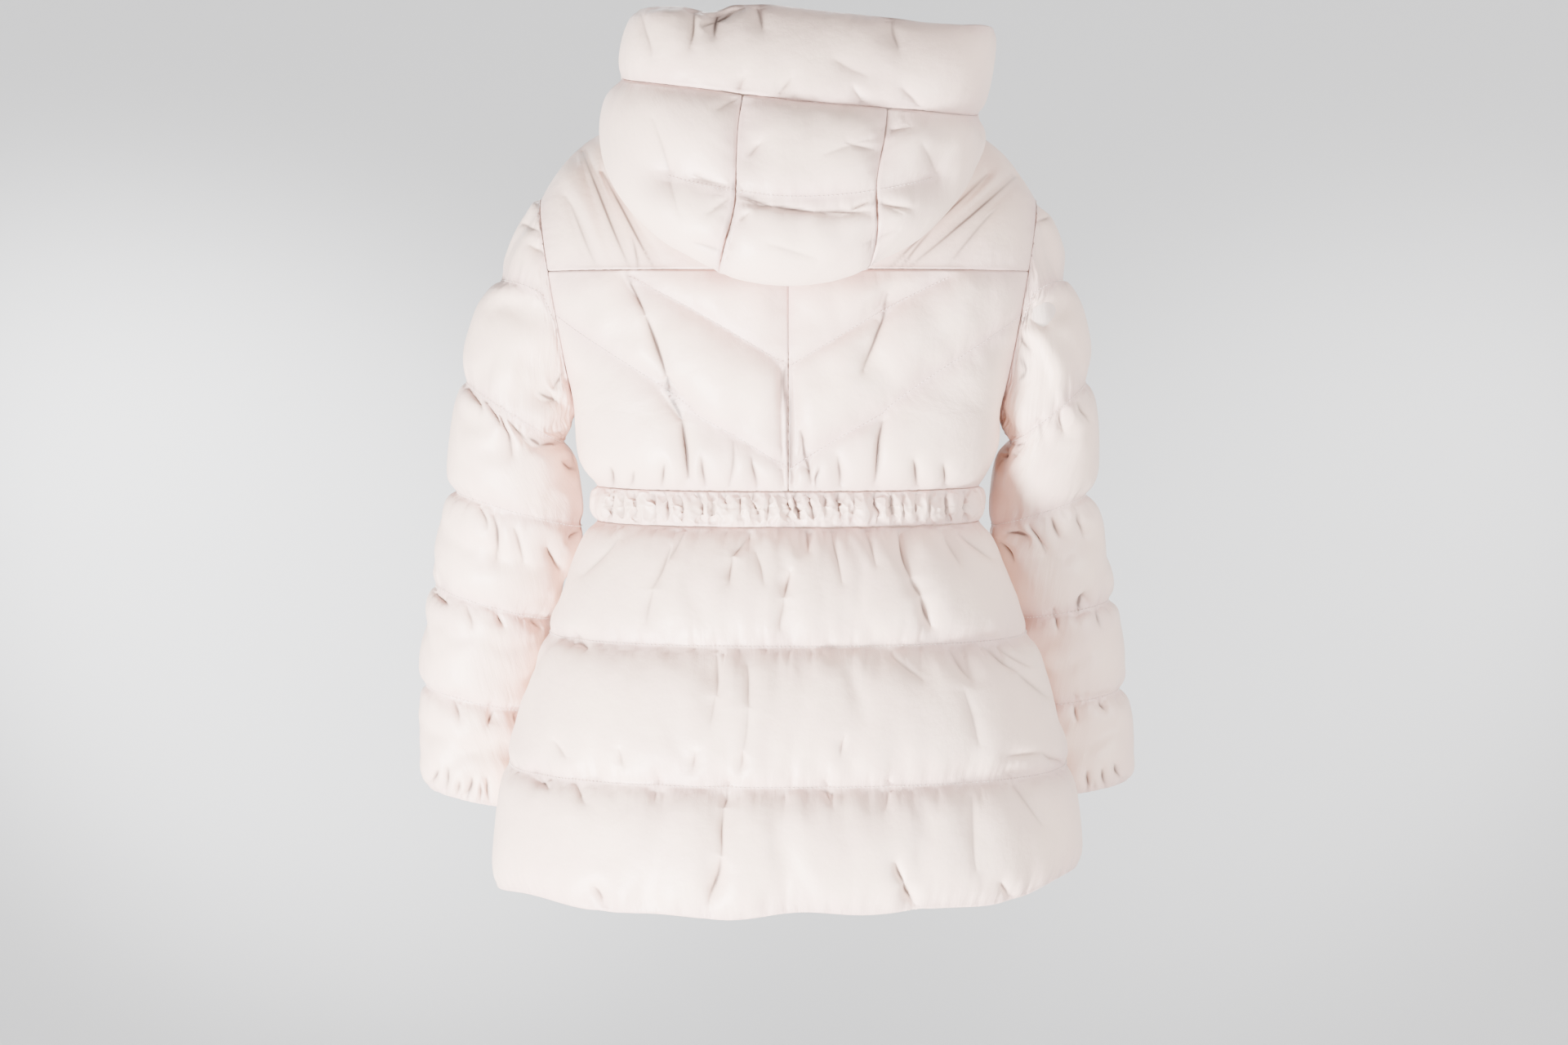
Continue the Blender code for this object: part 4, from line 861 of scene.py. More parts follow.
def upper_back_panel(node, side):
    """One half of the upper back, with its two stitched chevrons."""
    across = even_steps(HALF_BACK)[None, :]
    rows = even_cells(YOKE_Z - WAIST_TOP_Z)
    z = np.linspace(WAIST_TOP_Z + GAP / 2, YOKE_Z - GAP / 2, rows + 1)[:, None] + 0 * across
    span = across[0] * ARMHOLE_X * 0.9
    lines = []
    for middle_z, slope in (CHEVRON_LOW, CHEVRON_HIGH):
        height = middle_z + slope * span
        used = np.flatnonzero(height < YOKE_Z - CHEVRON_END)
        nearest = snapped_rows(z, height)
        z[nearest[used], used] = height[used]
        lines.append((nearest[used], used))
    base, normal = chest_section(z, across, True, 0.0)
    inside, _ = chest_section(z, across, True, SEAM_WALL)
    armhole = 1 - side_weight(z) * np.exp(-(1 - across) * HALF_BACK / (2 * BACK_LOFT))
    height = SIDE_LOFT + (BACK_LOFT - SIDE_LOFT) * np.cos(across * math.pi / 2)
    shift = np.array((GAP / 2, 0, 0)) * (1 - across[..., None])
    base = base + shift
    inside = inside + shift
    for grid in (inside, base):
        behind_armhole(grid)
    panel = new_panel(node, face_side(base, side, True), face_side(normal, side, True),
                      face_side(inside, side, True), height * armhole)
    for picked, used in lines:
        sew_line(panel, picked, used)
    return panel


def yoke_panel(node="back_yoke"):
    """The plain panel over the shoulder blades, from armhole to armhole."""
    signed = np.linspace(-1, 1, even_cells(YOKE_SPAN) + 1)[None, :]
    across = np.abs(signed)
    rise = even_steps(YOKE_RISE)[:, None]
    inside, _ = shoulder_arc(rise, across, True, SEAM_WALL, YOKE_Z + GAP / 2)
    base, _ = shoulder_arc(rise, across, True, 0.0, YOKE_Z + GAP / 2)
    for grid in (inside, base):
        grid[..., 0] *= np.where(signed < 0, -1, 1)
    normal = -grid_normals(base)
    height = YOKE_LOFT * edge_fade(1 - across, 0.15)
    return new_panel(node, base, normal, inside, height + 0 * rise, growth=YOKE_GROWTH)


def front_panel(node, side):
    """One front, from the band to the shoulder seam and the neckline."""
    across = even_steps(FRONT_SPAN, FRONT_CELL)[None, :]
    middle_z = lerp(WAIST_TOP_Z, YOKE_Z, 0.5)
    parts = []
    stitched = []
    for low, high in ((WAIST_TOP_Z + GAP / 2, middle_z), (middle_z, YOKE_Z)):
        share = even_steps(high - low, FRONT_CELL)[:, None]
        z = lerp(low, high, share) + 0 * across
        inside, _ = chest_section(z, across, False, SEAM_WALL)
        base, normal = chest_section(z, across, False, 0.0)
        armhole = 1 - side_weight(z) * np.exp(-(1 - across) * HALF_BACK / (2 * FRONT_LOFT))
        height = SIDE_LOFT + (FRONT_LOFT - SIDE_LOFT) * np.cos(across * math.pi / 2)
        parts.append((base, normal, inside, height * armhole * edge_fade(across, 0.10)))
        stitched.append(len(share) - 1 + (stitched[-1] if stitched else 0))
    rise = even_steps(FRONT_RISE, FRONT_CELL)[:, None]
    inside, _ = shoulder_arc(rise, across, False, SEAM_WALL, YOKE_Z)
    base, _ = shoulder_arc(rise, across, False, 0.0, YOKE_Z)
    height = FRONT_TOP_LOFT * edge_fade(1 - across, 0.2) * edge_fade(across, 0.10) + 0 * rise
    parts.append((base, -grid_normals(base), inside, height))
    base, normal, inside, height = (
        np.concatenate([parts[0][index], parts[1][index][1:], parts[2][index][1:]]) for index in range(4))
    for grid in (inside, base):
        behind_armhole(grid)
    base = face_side(base, side, False)
    inside = face_side(inside, side, False)
    settle_front_edge(inside, base)
    panel = new_panel(node, base, face_side(normal, side, False), inside, height)
    for row in stitched:
        sew_row(panel, row)
    return panel


def sleeve_panel(node, side, table):
    """A sleeve: the shoulder cap with its slanting line, then stitched rings down to the cuff's edge."""
    turn = np.linspace(-math.pi, math.pi, even_cells(SLEEVE_ROUND) + 1)[:-1]
    lofty = lerp(SLEEVE_INSIDE_LOFT, SLEEVE_LOFT, smooth((1.2 + np.cos(turn)) / 1.6))
    rings, insets = ([armhole_ring(turn, inset)] + [sleeve_ring(row, turn, inset) for row in table]
                     for inset in (0.0, SEAM_WALL))
    cap_rows = even_cells(SLEEVE_CAP)
    cap_share = even_steps(SLEEVE_CAP)[:, None] + 0 * turn
    first = SLEEVE_CAP_SHARE * np.clip((np.cos(turn) + 0.5) / 1.5, 0, 1)
    used = np.flatnonzero(first * cap_rows > 1.5)
    nearest = snapped_rows(cap_share, first)
    cap_share[nearest[used], used] = first[used]
    shares = [cap_share]
    for low, high in zip(rings[1:], rings[2:]):
        length = np.linalg.norm(high[0] - low[0], axis=-1).mean()
        shares.append(even_steps(length)[1:, None] + 0 * turn)
    base, normal, inside = [], [], []
    stitched = []
    for index, share in enumerate(shares):
        weight = share[..., None]
        part = lerp(rings[index][0], rings[index + 1][0], weight)
        outward = unit(lerp(rings[index][1], rings[index + 1][1], weight))
        inner = lerp(insets[index][0], insets[index + 1][0], weight)
        if index == 0:
            crown = SHOULDER_BULGE * np.sin(math.pi * share) * np.clip(np.cos(turn), 0, 1)
            part = part + outward * crown[..., None]
            inner = inner + outward * crown[..., None]
        base.append(part)
        normal.append(outward)
        inside.append(inner)
        stitched.append(sum(len(grid) for grid in base) - 1)
    base, normal, inside = (np.concatenate(grids) for grids in (base, normal, inside))
    for grid in (inside, base):
        limit = ARMHOLE_X + ARMHOLE_LEAN * grid[..., 2] + GAP / 2
        grid[..., 0] = np.maximum(grid[..., 0], limit)
    panel = new_panel(node, face_side(base, side, True), face_side(normal, side, True),
                      face_side(inside, side, True), lofty + 0 * base[..., 0], tube=True)
    sew_line(panel, nearest[used], used)
    for row in stitched[:-1]:
        sew_row(panel, row)
    return panel


def hood_grid(name):
    """Stations and angles of a hood panel's cloth."""
    stations = np.linspace(0, BRIM_STATION, BRIM_STATION * STATION_ROWS + 1)[:, None]
    middle = gusset_middle(stations)
    half = gusset_angle(stations)
    if name == "hood_center":
        angles = middle + (half - GUSSET_GAP) * np.linspace(-1, 1, even_cells(GUSSET_ROUND) + 1)[None, :]
        return stations + 0 * angles, angles
    side = 1 if name == "hood_side_left" else -1
    turned = math.pi / 2
    near = lerp(side * middle + half + GUSSET_GAP, turned, even_steps(HOOD_SIDE_BACK)[None, :])
    far = lerp(turned, front_angle(stations), even_steps(HOOD_SIDE_FRONT)[None, 1:])
    angles = side * np.concatenate([near, far], axis=1)
    return stations + 0 * angles, angles


def hood_panel(name):
    """A panel of the hood; what lies hidden between the hood and the back is left as it is."""
    stations, angles = hood_grid(name)
    lowest = lerp(SEAM_WALL, HOOD_INNER_WALL, smooth(stations - 2) * smooth(7 - stations))
    lowest = lerp(NECK_WALL, lowest, smooth(stations))
    lifted = HOOD_SEAM_LIFT * smooth((stations - 4.0) / 0.9) * smooth((8.0 - stations) / 2.0)
    inside, base = hood_wall(stations, angles, lifted * smooth(np.cos(angles) + 0.4), lowest)
    base[0] = neck_ring(angles[0], NECK_WALL)
    inside[0] = neck_ring(angles[0])
    for grid in (inside, base):
        grid[0, :, 2] += GAP / 2
    if name != "hood_center":
        base[:, -1, 0] = inside[:, -1, 0]
    normal = step_normals(hood_surface, stations, angles)
    facing = lerp(0.3, 1.0, smooth(np.cos(angles) + 0.3))
    hanging = 0.05 + 0.95 * smooth((stations - 4.8) / 2.2)
    panel = new_panel(name, base, normal, inside, HOOD_LOFT * facing * hanging)
    hidden = (stations < 4.6) & (np.abs(angles) < math.radians(100))
    panel["sewn"] |= hidden
    sew_row(panel, HOOD_STITCH_STATION * STATION_ROWS, slice(None if name == "hood_center" else 9))
    return panel


def brim_panel(node="hood_brim"):
    """The band that edges the hood, from front edge to front edge."""
    share = np.linspace(0, 1, BRIM_ROWS + 1)[:, None]
    stations = BRIM_STATION + share * (len(HOOD) - 1 - BRIM_STATION)
    reach = front_angle(stations)
    angles = reach * np.linspace(-1, 1, even_cells(BRIM_ROUND) + 1)[None, :]
    places = stations + 0 * angles
    inside, base = hood_wall(places, angles, 0 * places, SEAM_WALL)
    normal = step_normals(hood_surface, places, angles)
    height = BRIM_LOFT * lerp(0.3, 0.6, smooth((np.cos(angles) + 0.9) / 1.2))
    height = height * edge_fade(1 - np.abs(angles / reach), 0.05)
    for grid in (inside, base):
        grid[:, [0, -1], 0] = inside[:, [0, -1], 0]
        grid[..., 2] += GAP * 1.5
        wavy = np.interp(-grid[..., 0], [-x for x, _ in BRIM_EDGE], [rise for _, rise in BRIM_EDGE])
        grid[..., 2] += wavy * share ** 2 * smooth(grid[..., 1] / 0.1)
        corner = share ** 1.5 * smooth((-grid[..., 0] - 0.11) / 0.06)
        grid[..., 0] -= BRIM_CORNER[0] * corner
        grid[..., 2] += BRIM_CORNER[1] * corner
    return new_panel(node, base, normal, inside, height, growth=BRIM_GROWTH, least=BRIM_LEAST)


def cell_faces(rows, columns, tube, diagonals=()):
    """Quads of a grid, and triangles where a slanting seam crosses a cell."""
    row, column = np.meshgrid(np.arange(rows - 1), np.arange(columns if tube else columns - 1), indexing="ij")
    following = (column + 1) % columns
    quads = np.stack([row * columns + column, row * columns + following,
                      (row + 1) * columns + following, (row + 1) * columns + column], axis=-1)
    cut = set()
    triangles = []
    for low, left, falling in diagonals:
        a, b, c, d = quads[low, left]
        cut.add((low, left))
        triangles += [(a, b, c), (a, c, d)] if falling else [(a, b, d), (b, c, d)]
    kept = np.ones(quads.shape[:2], bool)
    for place in cut:
        kept[place] = False
    return quads[kept].tolist() + triangles


def measure_pins(panel):
    """For each point: distance to the nearest sewn one, that line's number, and its place along the line."""
    base, sewn = panel["base"], panel["sewn"]
    rows, columns = sewn.shape
    places = np.argwhere(sewn)
    tree = KDTree(len(places))
    for index, (row, column) in enumerate(places):
        tree.insert(base[row, column], index)
    tree.balance()
    found = [tree.find(point)[1:] for point in base.reshape(-1, 3)]
    nearest = places[[index for index, _ in found]].reshape(rows, columns, 2)
    across, down = cloth_places(panel)
    pin_row, pin_column = nearest[..., 0], nearest[..., 1]
    upright = ((pin_column == 0) | (pin_column == columns - 1)) & (not panel["tube"])
    beyond = np.arange(rows)[:, None] > pin_row
    line = np.where(upright, 1 + 2 * (pin_column > 0), 4 + 2 * np.round(pin_row / 8) + beyond)
    panel["distance"] = np.array([away for _, away in found]).reshape(rows, columns)
    panel["line"] = line
    panel["along"] = np.where(upright, down, across)


def start_cloth(panel):
    """Adds the panel's cloth, slightly raised, for the simulation."""
    measure_pins(panel)
    distance = panel["distance"]
    rows, columns = distance.shape
    raised = 0.5 * panel["height"] * (1 - np.exp(-distance / GROWTH_REACH))
    start = panel["base"] + panel["normal"] * raised[..., None]
    start = start + chance.normal(0, START_NOISE, start.shape) * (~panel["sewn"])[..., None]
    mesh = bpy.data.meshes.new("cloth_" + panel["node"])
    mesh.from_pydata(start.reshape(-1, 3).tolist(), [],
                     cell_faces(rows, columns, panel["tube"], panel["diagonals"]))
    mesh.update()
    first = np.array([face.vertices[0] for face in mesh.polygons])
    facing = np.array([face.normal for face in mesh.polygons])
    if (facing * panel["normal"].reshape(-1, 3)[first]).sum() < 0:
        mesh.flip_normals()
    cloth = bpy.data.objects.new("cloth_" + panel["node"], mesh)
    bpy.context.scene.collection.objects.link(cloth)
    pins = cloth.vertex_groups.new(name="pins")
    pins.add(np.flatnonzero(panel["sewn"]).tolist(), 1.0, "REPLACE")
    near = cloth.vertex_groups.new(name="near")
    for index, weight in enumerate(np.exp(-distance.ravel() / GROWTH_REACH)):
        near.add([index], weight, "REPLACE")
    modifier = cloth.modifiers.new("filling", "CLOTH")
    settings = modifier.settings
    for name, value in CLOTH_SETTINGS.items():
        setattr(settings, name, value)
    settings.shrink_min = -panel["growth"][0]
    settings.shrink_max = -panel["growth"][1]
    settings.effector_weights.gravity = 0
    modifier.collision_settings.use_collision = False
    modifier.point_cache.frame_start = 1
    modifier.point_cache.frame_end = CLOTH_FRAMES
    panel["cloth"] = cloth


def fill_panels(panels):
    """Blows all panels up together, and keeps each point near its place."""
    for panel in panels:
        start_cloth(panel)
    for step in range(1, CLOTH_FRAMES + 1):
        bpy.context.scene.frame_set(step)
        bpy.context.evaluated_depsgraph_get()
    graph = bpy.context.evaluated_depsgraph_get()
    for panel in panels:
        cloth = panel.pop("cloth")
        points = np.empty(panel["sewn"].size * 3, np.float32)
        cloth.evaluated_get(graph).data.vertices.foreach_get("co", points)
        panel["outside"] = ironed(panel, hold_near(panel, points.reshape(panel["base"].shape).astype(float)))
        data = cloth.data
        bpy.data.objects.remove(cloth)
        bpy.data.meshes.remove(data)
    bpy.context.scene.frame_set(1)


def hold_near(panel, points):
    """Limits how far the filled cloth stands off its base, and how far it slides along it."""
    base, normal, height = panel["base"], panel["normal"], panel["height"]
    moved = points - base
    out = (moved * normal).sum(-1)
    slid = moved - normal * out[..., None]
    most = STAND_SHARE * height + STAND_MORE
    out = np.where(out > 0, most * np.tanh(out / most), SINK * np.tanh(out / SINK))
    out = np.maximum(out, panel["least"] * height * (1 - np.exp(-panel["distance"] / BRIM_REACH)))
    room = SLIDE_SHARE * panel["distance"] + 1e-6
    length = np.linalg.norm(slid, axis=-1) + 1e-9
    slid = slid * (np.minimum(length, room) / length)[..., None]
    return base + normal * out[..., None] + slid


def ironed(panel, points):
    """Takes the smallest wrinkles out of the filled cloth, a few times over, away from its sewn points."""
    free = ~panel["sewn"][1:-1]
    for _ in range(for_piece(IRONED, panel["node"], 0)):
        left, right = (np.roll(points, step, axis=1)[1:-1] for step in (1, -1))
        around = (points[:-2] + points[2:] + left + right) / 4
        points = points.copy()
        points[1:-1][free] = (points[1:-1] * (1 - IRON_SHARE) + around * IRON_SHARE)[free]
    return points


def wall_faces(rows, columns, tube, diagonals):
    """Faces of the outer grid, of the inner one with half its cells, and of the rims between them."""
    outer = cell_faces(rows, columns, tube, diagonals)
    few_rows = (rows + 1) // 2
    few_columns = columns // 2 if tube else (columns + 1) // 2
    first = rows * columns
    inner = [[first + index for index in face] for face in cell_faces(few_rows, few_columns, tube)]
    rims = []

    def rim(fine, rough):
        """Three triangles from each step of the inner edge to two of the outer one."""
        for index in range(len(rough) - 1):
            start, middle, end = fine[2 * index:2 * index + 3]
            rims.append((rough[index], start, middle))
            rims.append((rough[index], middle, rough[index + 1]))
            rims.append((rough[index + 1], middle, end))

    for fine_row, rough_row in ((0, 0), (rows - 1, few_rows - 1)):
        fine = [fine_row * columns + column for column in range(columns)]
        rough = [first + rough_row * few_columns + column for column in range(few_columns)]
        rim(fine + fine[:1] * tube, rough + rough[:1] * tube)
    if not tube:
        for fine_column, rough_column in ((0, 0), (columns - 1, few_columns - 1)):
            rim([row * columns + fine_column for row in range(rows)],
                [first + row * few_columns + rough_column for row in range(few_rows)])
    return outer, inner, rims


def cloth_places(panel):
    """How far each point lies across and down the cloth, in metres, for its weave."""
    base = panel["base"]
    across = np.linalg.norm(np.diff(base, axis=1), axis=-1)
    across = np.concatenate([np.zeros((len(base), 1)), np.cumsum(across, axis=1)], axis=1)
    across = across - across.mean(axis=1, keepdims=True)
    down = np.linalg.norm(np.diff(base, axis=0), axis=-1)
    down = np.concatenate([np.zeros((1, base.shape[1])), np.cumsum(down, axis=0)], axis=0)
    return across, down


def set_values(mesh, name, values, kind="FLOAT"):
    """Gives each point of a mesh a named value or place."""
    attribute = mesh.attributes.new(name, kind, "POINT")
    key = "vector" if kind == "FLOAT_VECTOR" else "value"
    attribute.data.foreach_set(key, np.ascontiguousarray(values, np.float32).ravel())


def crease_edges(mesh, pairs, sharpness):
    """Keeps these edges sharp under the subdivision."""
    ends = np.empty(len(mesh.edges) * 2, np.int32)
    mesh.edges.foreach_get("vertices", ends)
    ends = np.sort(ends.reshape(-1, 2), axis=1)
    total = len(mesh.vertices)
    keys = ends[:, 0].astype(np.int64) * total + ends[:, 1]
    wanted = np.sort(np.array(pairs, np.int64).reshape(-1, 2), axis=1)
    marked = np.isin(keys, wanted[:, 0] * total + wanted[:, 1])
    crease = mesh.attributes.new("crease_edge", "FLOAT", "EDGE")
    crease.data.foreach_set("value", np.where(marked, sharpness, 0.0).astype(np.float32))


def build_panel(panel, shell, lining):
    """The finished padded piece: its cloth outside, lining inside and seam allowances between them."""
    outside, inside = panel["outside"], panel["inside"][::2, ::2]
    rows, columns = outside.shape[:2]
    tube = panel["tube"]
    outer, inner, rims = wall_faces(rows, columns, tube, panel["diagonals"])
    points = np.concatenate([outside.reshape(-1, 3), inside.reshape(-1, 3)])
    mesh = bpy.data.meshes.new(panel["node"] + "_cloth")
    mesh.from_pydata(points.tolist(), [], outer + inner + rims)
    builder = bmesh.new()
    builder.from_mesh(mesh)
    bmesh.ops.recalc_face_normals(builder, faces=builder.faces)
    builder.to_mesh(mesh)
    builder.free()
    mesh.shade_smooth()
    mesh.materials.append(shell)
    mesh.materials.append(lining)
    mesh.polygons.foreach_set("material_index", [0] * len(outer) + [1] * (len(inner) + len(rims)))
    across, down = cloth_places(panel)
    stand = ((outside - panel["base"]) * panel["normal"]).sum(-1)
    for name, values in (("near", np.exp(-panel["distance"] / PUCKER_FADE)), ("stand", stand),
                         ("line", panel["line"]), ("along", panel["along"])):
        set_values(mesh, name, np.concatenate([values.ravel(), np.zeros(inside[..., 0].size)]))
    grid = np.stack([across, down, 0 * down], axis=-1)
    set_values(mesh, "cloth", np.concatenate([grid.reshape(-1, 3), grid[::2, ::2].reshape(-1, 3)]), "FLOAT_VECTOR")
    border = [(r * columns, (r + 1) * columns) for r in range(rows - 1)]
    border += [((r + 1) * columns - 1, (r + 2) * columns - 1) for r in range(rows - 1)]
    edges = [] if tube else border
    for row in (0, rows - 1):
        edges = edges + [(row * columns + c, row * columns + (c + 1) % columns) for c in range(columns - (not tube))]
    seams = [(a[0] * columns + a[1], b[0] * columns + b[1]) for a, b in panel["seam_edges"]]
    crease_edges(mesh, edges + seams, SEAM_SHARPNESS)
    piece = bpy.data.objects.new(panel["node"] + "_cloth", mesh)
    bpy.context.scene.collection.objects.link(piece)
    rounding = piece.modifiers.new("rounding", "SUBSURF")
    rounding.levels = 1
    graph = bpy.context.evaluated_depsgraph_get()
    dense = bpy.data.meshes.new_from_object(piece.evaluated_get(graph), preserve_all_data_layers=True, depsgraph=graph)
    piece.modifiers.clear()
    piece.data = dense
    bpy.data.meshes.remove(mesh)
    refine(dense, panel["node"])
    press_creases(dense, panel["node"])
    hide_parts(panel["node"])
    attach(piece, "jacket")


def get_values(mesh, name):
    """Reads what set_values gave, for single values."""
    data = mesh.attributes[name].data
    values = np.empty(len(data), np.float32)
    data.foreach_get("value", values)
    return values


def faced_side(node, normals):
    """1 where a piece's creases are those seen from behind, -1 where they are seen from the front."""
    if "front" in node:
        return -np.ones(len(normals))
    return np.where(normals[:, 1] < 0, -1, 1) if node.startswith("sleeve") else np.ones(len(normals))


def seen_places(points, side):
    """Where points are seen in the plane y = 0, from behind or from the front."""
    nearer = VIEW_FROM[1] / (VIEW_FROM[1] - side * points[:, 1])
    return VIEW_FROM[0] + (points[:, 0] - VIEW_FROM[0]) * nearer, VIEW_FROM[2] + (points[:, 2] - VIEW_FROM[2]) * nearer


def segment_depth(x, z, rows):
    """How deep creases press in at places seen from behind, their dark lines of painted shade, and the distance to the
    nearest.
    """
    depth = np.zeros(len(x))
    dark = np.zeros(len(x))
    nearest = np.full(len(x), 1.0)
    for x0, z0, x1, z1, half_width, deepest in rows:
        span = np.array((x1 - x0, z1 - z0))
        share = ((x - x0) * span[0] + (z - z0) * span[1]) / span.dot(span)
        share = np.clip(share, 0, 1)
        bend = CREASE_BEND * half_width * np.sin(5.0 * share + 900 * x0)
        away = np.hypot(x - x0 - share * span[0] - bend, z - z0 - share * span[1])
        ends = np.sin(math.pi * np.clip(0.1 + 0.8 * share, 0, 1))
        profile = (CREASE_SHARP * np.exp(-(away / half_width) ** 1.2)
                   + (1 - CREASE_SHARP) * np.exp(-(away / (CREASE_SOFT_WIDTH * half_width)) ** 2))
        depth = np.maximum(depth, CREASE_SCALE * deepest * (0.4 + 0.6 * ends) * profile)
        line = (np.exp(-(away / CREASE_PAINTED_LINE) ** 2) + CREASE_PAINTED_HALO * np.exp(-(away / half_width) ** 2)) * ends
        line = line * np.clip(deepest / CREASE_FULL, *CREASE_TONES)
        dark = np.maximum(dark, line)
        nearest = np.minimum(nearest, away)
    return depth, dark, nearest


def node_creases(node):
    """A piece's creases, in metres."""
    return [[value / unit for value, unit in zip(row, CREASE_UNITS)] for row in for_piece(CREASES, node, ())]


def read_vectors(rows, name):
    """Points or normals from the rows of a mesh that hold them."""
    vectors = np.empty(len(rows) * 3, np.float32)
    rows.foreach_get(name, vectors)
    return vectors.reshape(-1, 3)


def refine(mesh, node):
    """Cuts the cells smaller along the creases, so that they come out sharp."""
    rows = node_creases(node)
    for reach in REFINED[:1 if node.startswith("waistband") else None]:
        points = read_vectors(mesh.vertices, "co").astype(float)
        normals = read_vectors(mesh.vertex_normals, "vector")
        side = faced_side(node, normals)
        _, _, nearest = segment_depth(*seen_places(points, side), rows)
        chosen = (nearest < reach) & (normals[:, 1] * side > REFINED_FACING)
        chosen &= get_values(mesh, "stand") > REFINED_STAND
        if node.startswith("sleeve"):
            chosen &= side > 0
        builder = bmesh.new()
        builder.from_mesh(mesh)
        builder.verts.ensure_lookup_table()
        wanted = set(np.flatnonzero(chosen).tolist())
        edges = [edge for edge in builder.edges if edge.verts[0].index in wanted and edge.verts[1].index in wanted]
        bmesh.ops.subdivide_edges(builder, edges=edges, cuts=1, use_grid_fill=True)
        builder.to_mesh(mesh)
        builder.free()
        mesh.shade_smooth()


def press_creases(mesh, node):
    """Presses the listed creases and the small puckers beside the stitches into the filled cloth."""
    points = read_vectors(mesh.vertices, "co").astype(float)
    normals = read_vectors(mesh.vertex_normals, "vector")
    near = get_values(mesh, "near")
    outside = near > 0
    near = np.clip(near, 1e-6, 1.0)
    stand = get_values(mesh, "stand")
    distance = -PUCKER_FADE * np.log(near)
    line = np.round(get_values(mesh, "line")).astype(int) % len(pucker_rows)
    along = get_values(mesh, "along")
    place = np.clip(((along + 0.8) * 1000).astype(int), 0, pucker_rows.shape[1] - 1)
    share = for_piece(PUCKERED, node, 1.0)
    set_values(mesh, "pucker", share * near)
    puckers = share * pucker_rows[line, place] * near * (1 - np.exp(-distance / 0.002))
    side = faced_side(node, normals)
    facing = smooth(normals[:, 1] * side * 3) * outside
    pressed, lines, _ = segment_depth(*seen_places(points, side), node_creases(node))
    depth = PUCKER_DEPTH * puckers + pressed * facing
    # Painted shade: dark lines along the creases and in the puckers, kept as the crease attribute that darkens the
    # cloth's colour
    lines = np.minimum(lines * for_piece(CREASE_PAINTED_SHADE, node, 1.0), DARKEST_PAINTED_SHADE)
    dark = np.maximum(PUCKER_PAINTED_SHADE * puckers, lines * facing)
    room = PRESS_ROOM + PRESS_MORE * smooth(distance / PRESS_REACH)
    depth = np.minimum(depth, np.maximum(stand, 0) * PRESS_SHARE + room)
    points -= normals * depth[:, None]
    set_values(mesh, "crease", dark)
    mesh.vertices.foreach_set("co", points.astype(np.float32).ravel())
    mesh.update()


def pucker_table(lines=64, length=1600):
    """Uneven small puckers along each stitched line, one value a millimetre."""
    table = np.zeros((lines, length))
    places = np.arange(length)
    for row in table:
        at = chance.uniform(0, PUCKER_FIRST)
        while at < length:
            depth = chance.uniform(*PUCKER_DEPTHS)
            width = chance.uniform(*PUCKER_WIDTHS)
            row += depth * np.exp(-(np.abs(places - at) / width) ** 1.2)
            at += chance.uniform(*PUCKER_STEPS)
    return np.minimum(table, 1.0)


def sew_threads(panels, thread):
    """Single stitches of thread along every sewn line."""
    points, faces = [], []
    for panel in panels:
        for line, normal in panel["stitches"]:
            steps = np.linalg.norm(np.diff(line, axis=0), axis=1)
            travelled = np.concatenate([[0], np.cumsum(steps)])
            starts = np.arange(0.002, travelled[-1] - STITCH_LENGTH, STITCH_PITCH)
            for offset in starts:
                ends = []
                for place in (offset, offset + STITCH_LENGTH):
                    ends.append([np.interp(place, travelled, line[:, axis]) for axis in range(3)])
                near, far = np.array(ends)
                up = unit(np.array([np.interp(offset, travelled, normal[:, axis]) for axis in range(3)]))
                side = unit(np.cross(far - near, up)) * STITCH_RADIUS
                middle = (near + far) / 2 + up * STITCH_RADIUS * 2
                first = len(points)
                points += [near, middle + side, middle - side, middle + up * STITCH_RADIUS, far]
                faces += [(first, first + 1, first + 3), (first, first + 3, first + 2), (first, first + 2, first + 1),
                          (first + 4, first + 3, first + 1), (first + 4, first + 2, first + 3),
                          (first + 4, first + 1, first + 2)]
    new_object("stitches", points, faces, thread).data.shade_smooth()


def new_object(name, points, faces, material):
    """A piece of the jacket made straight from its points and faces."""
    mesh = bpy.data.meshes.new(name)
    mesh.from_pydata([tuple(point) for point in points], [], faces)
    mesh.materials.append(material)
    piece = bpy.data.objects.new(name, mesh)
    bpy.context.scene.collection.objects.link(piece)
    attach(piece, "jacket")
    return piece


def zip_line(step):
    """Even steps along the middle of the zip: y, z, and the unit direction along it."""
    line = closing_line()
    travelled = np.concatenate([[0], np.cumsum(np.hypot(*np.diff(line, axis=0).T))])
    places = np.arange(0.0005, travelled[-1] - 0.0005, step)
    y, z = (np.interp(places, travelled, line[:, axis]) for axis in (0, 1))
    along = unit(np.stack([np.gradient(y), np.gradient(z)], axis=-1))
    return y, z, along, travelled[-1]


def zip_tapes(tape):
    """Both tapes of the closed zip, with a corded edge beside the teeth."""
    y, z, along, length = zip_line(TAPE_STEP)
    points, faces = [], []
    for side in (1, -1):
        first = len(points)
        for at, height, (along_y, along_z) in zip(y, z, along):
            for x, out in TAPE_SECTION:
                shift = out * TAPE_WALL
                points.append((-side * x, at + shift * along_z, height - shift * along_y))
        count = len(TAPE_SECTION)
        for row in range(len(y) - 1):
            low = first + row * count
            for corner in range(count):
                following = (corner + 1) % count
                face = (low + corner, low + following, low + following + count, low + corner + count)
                faces.append(face[::side])
        for row, order in ((0, -side), (len(y) - 1, side)):
            faces.append(tuple(range(first + row * count, first + (row + 1) * count))[::order])
    piece = new_object("zip_tapes_cloth", points, faces, tape)
    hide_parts("zip_tapes")


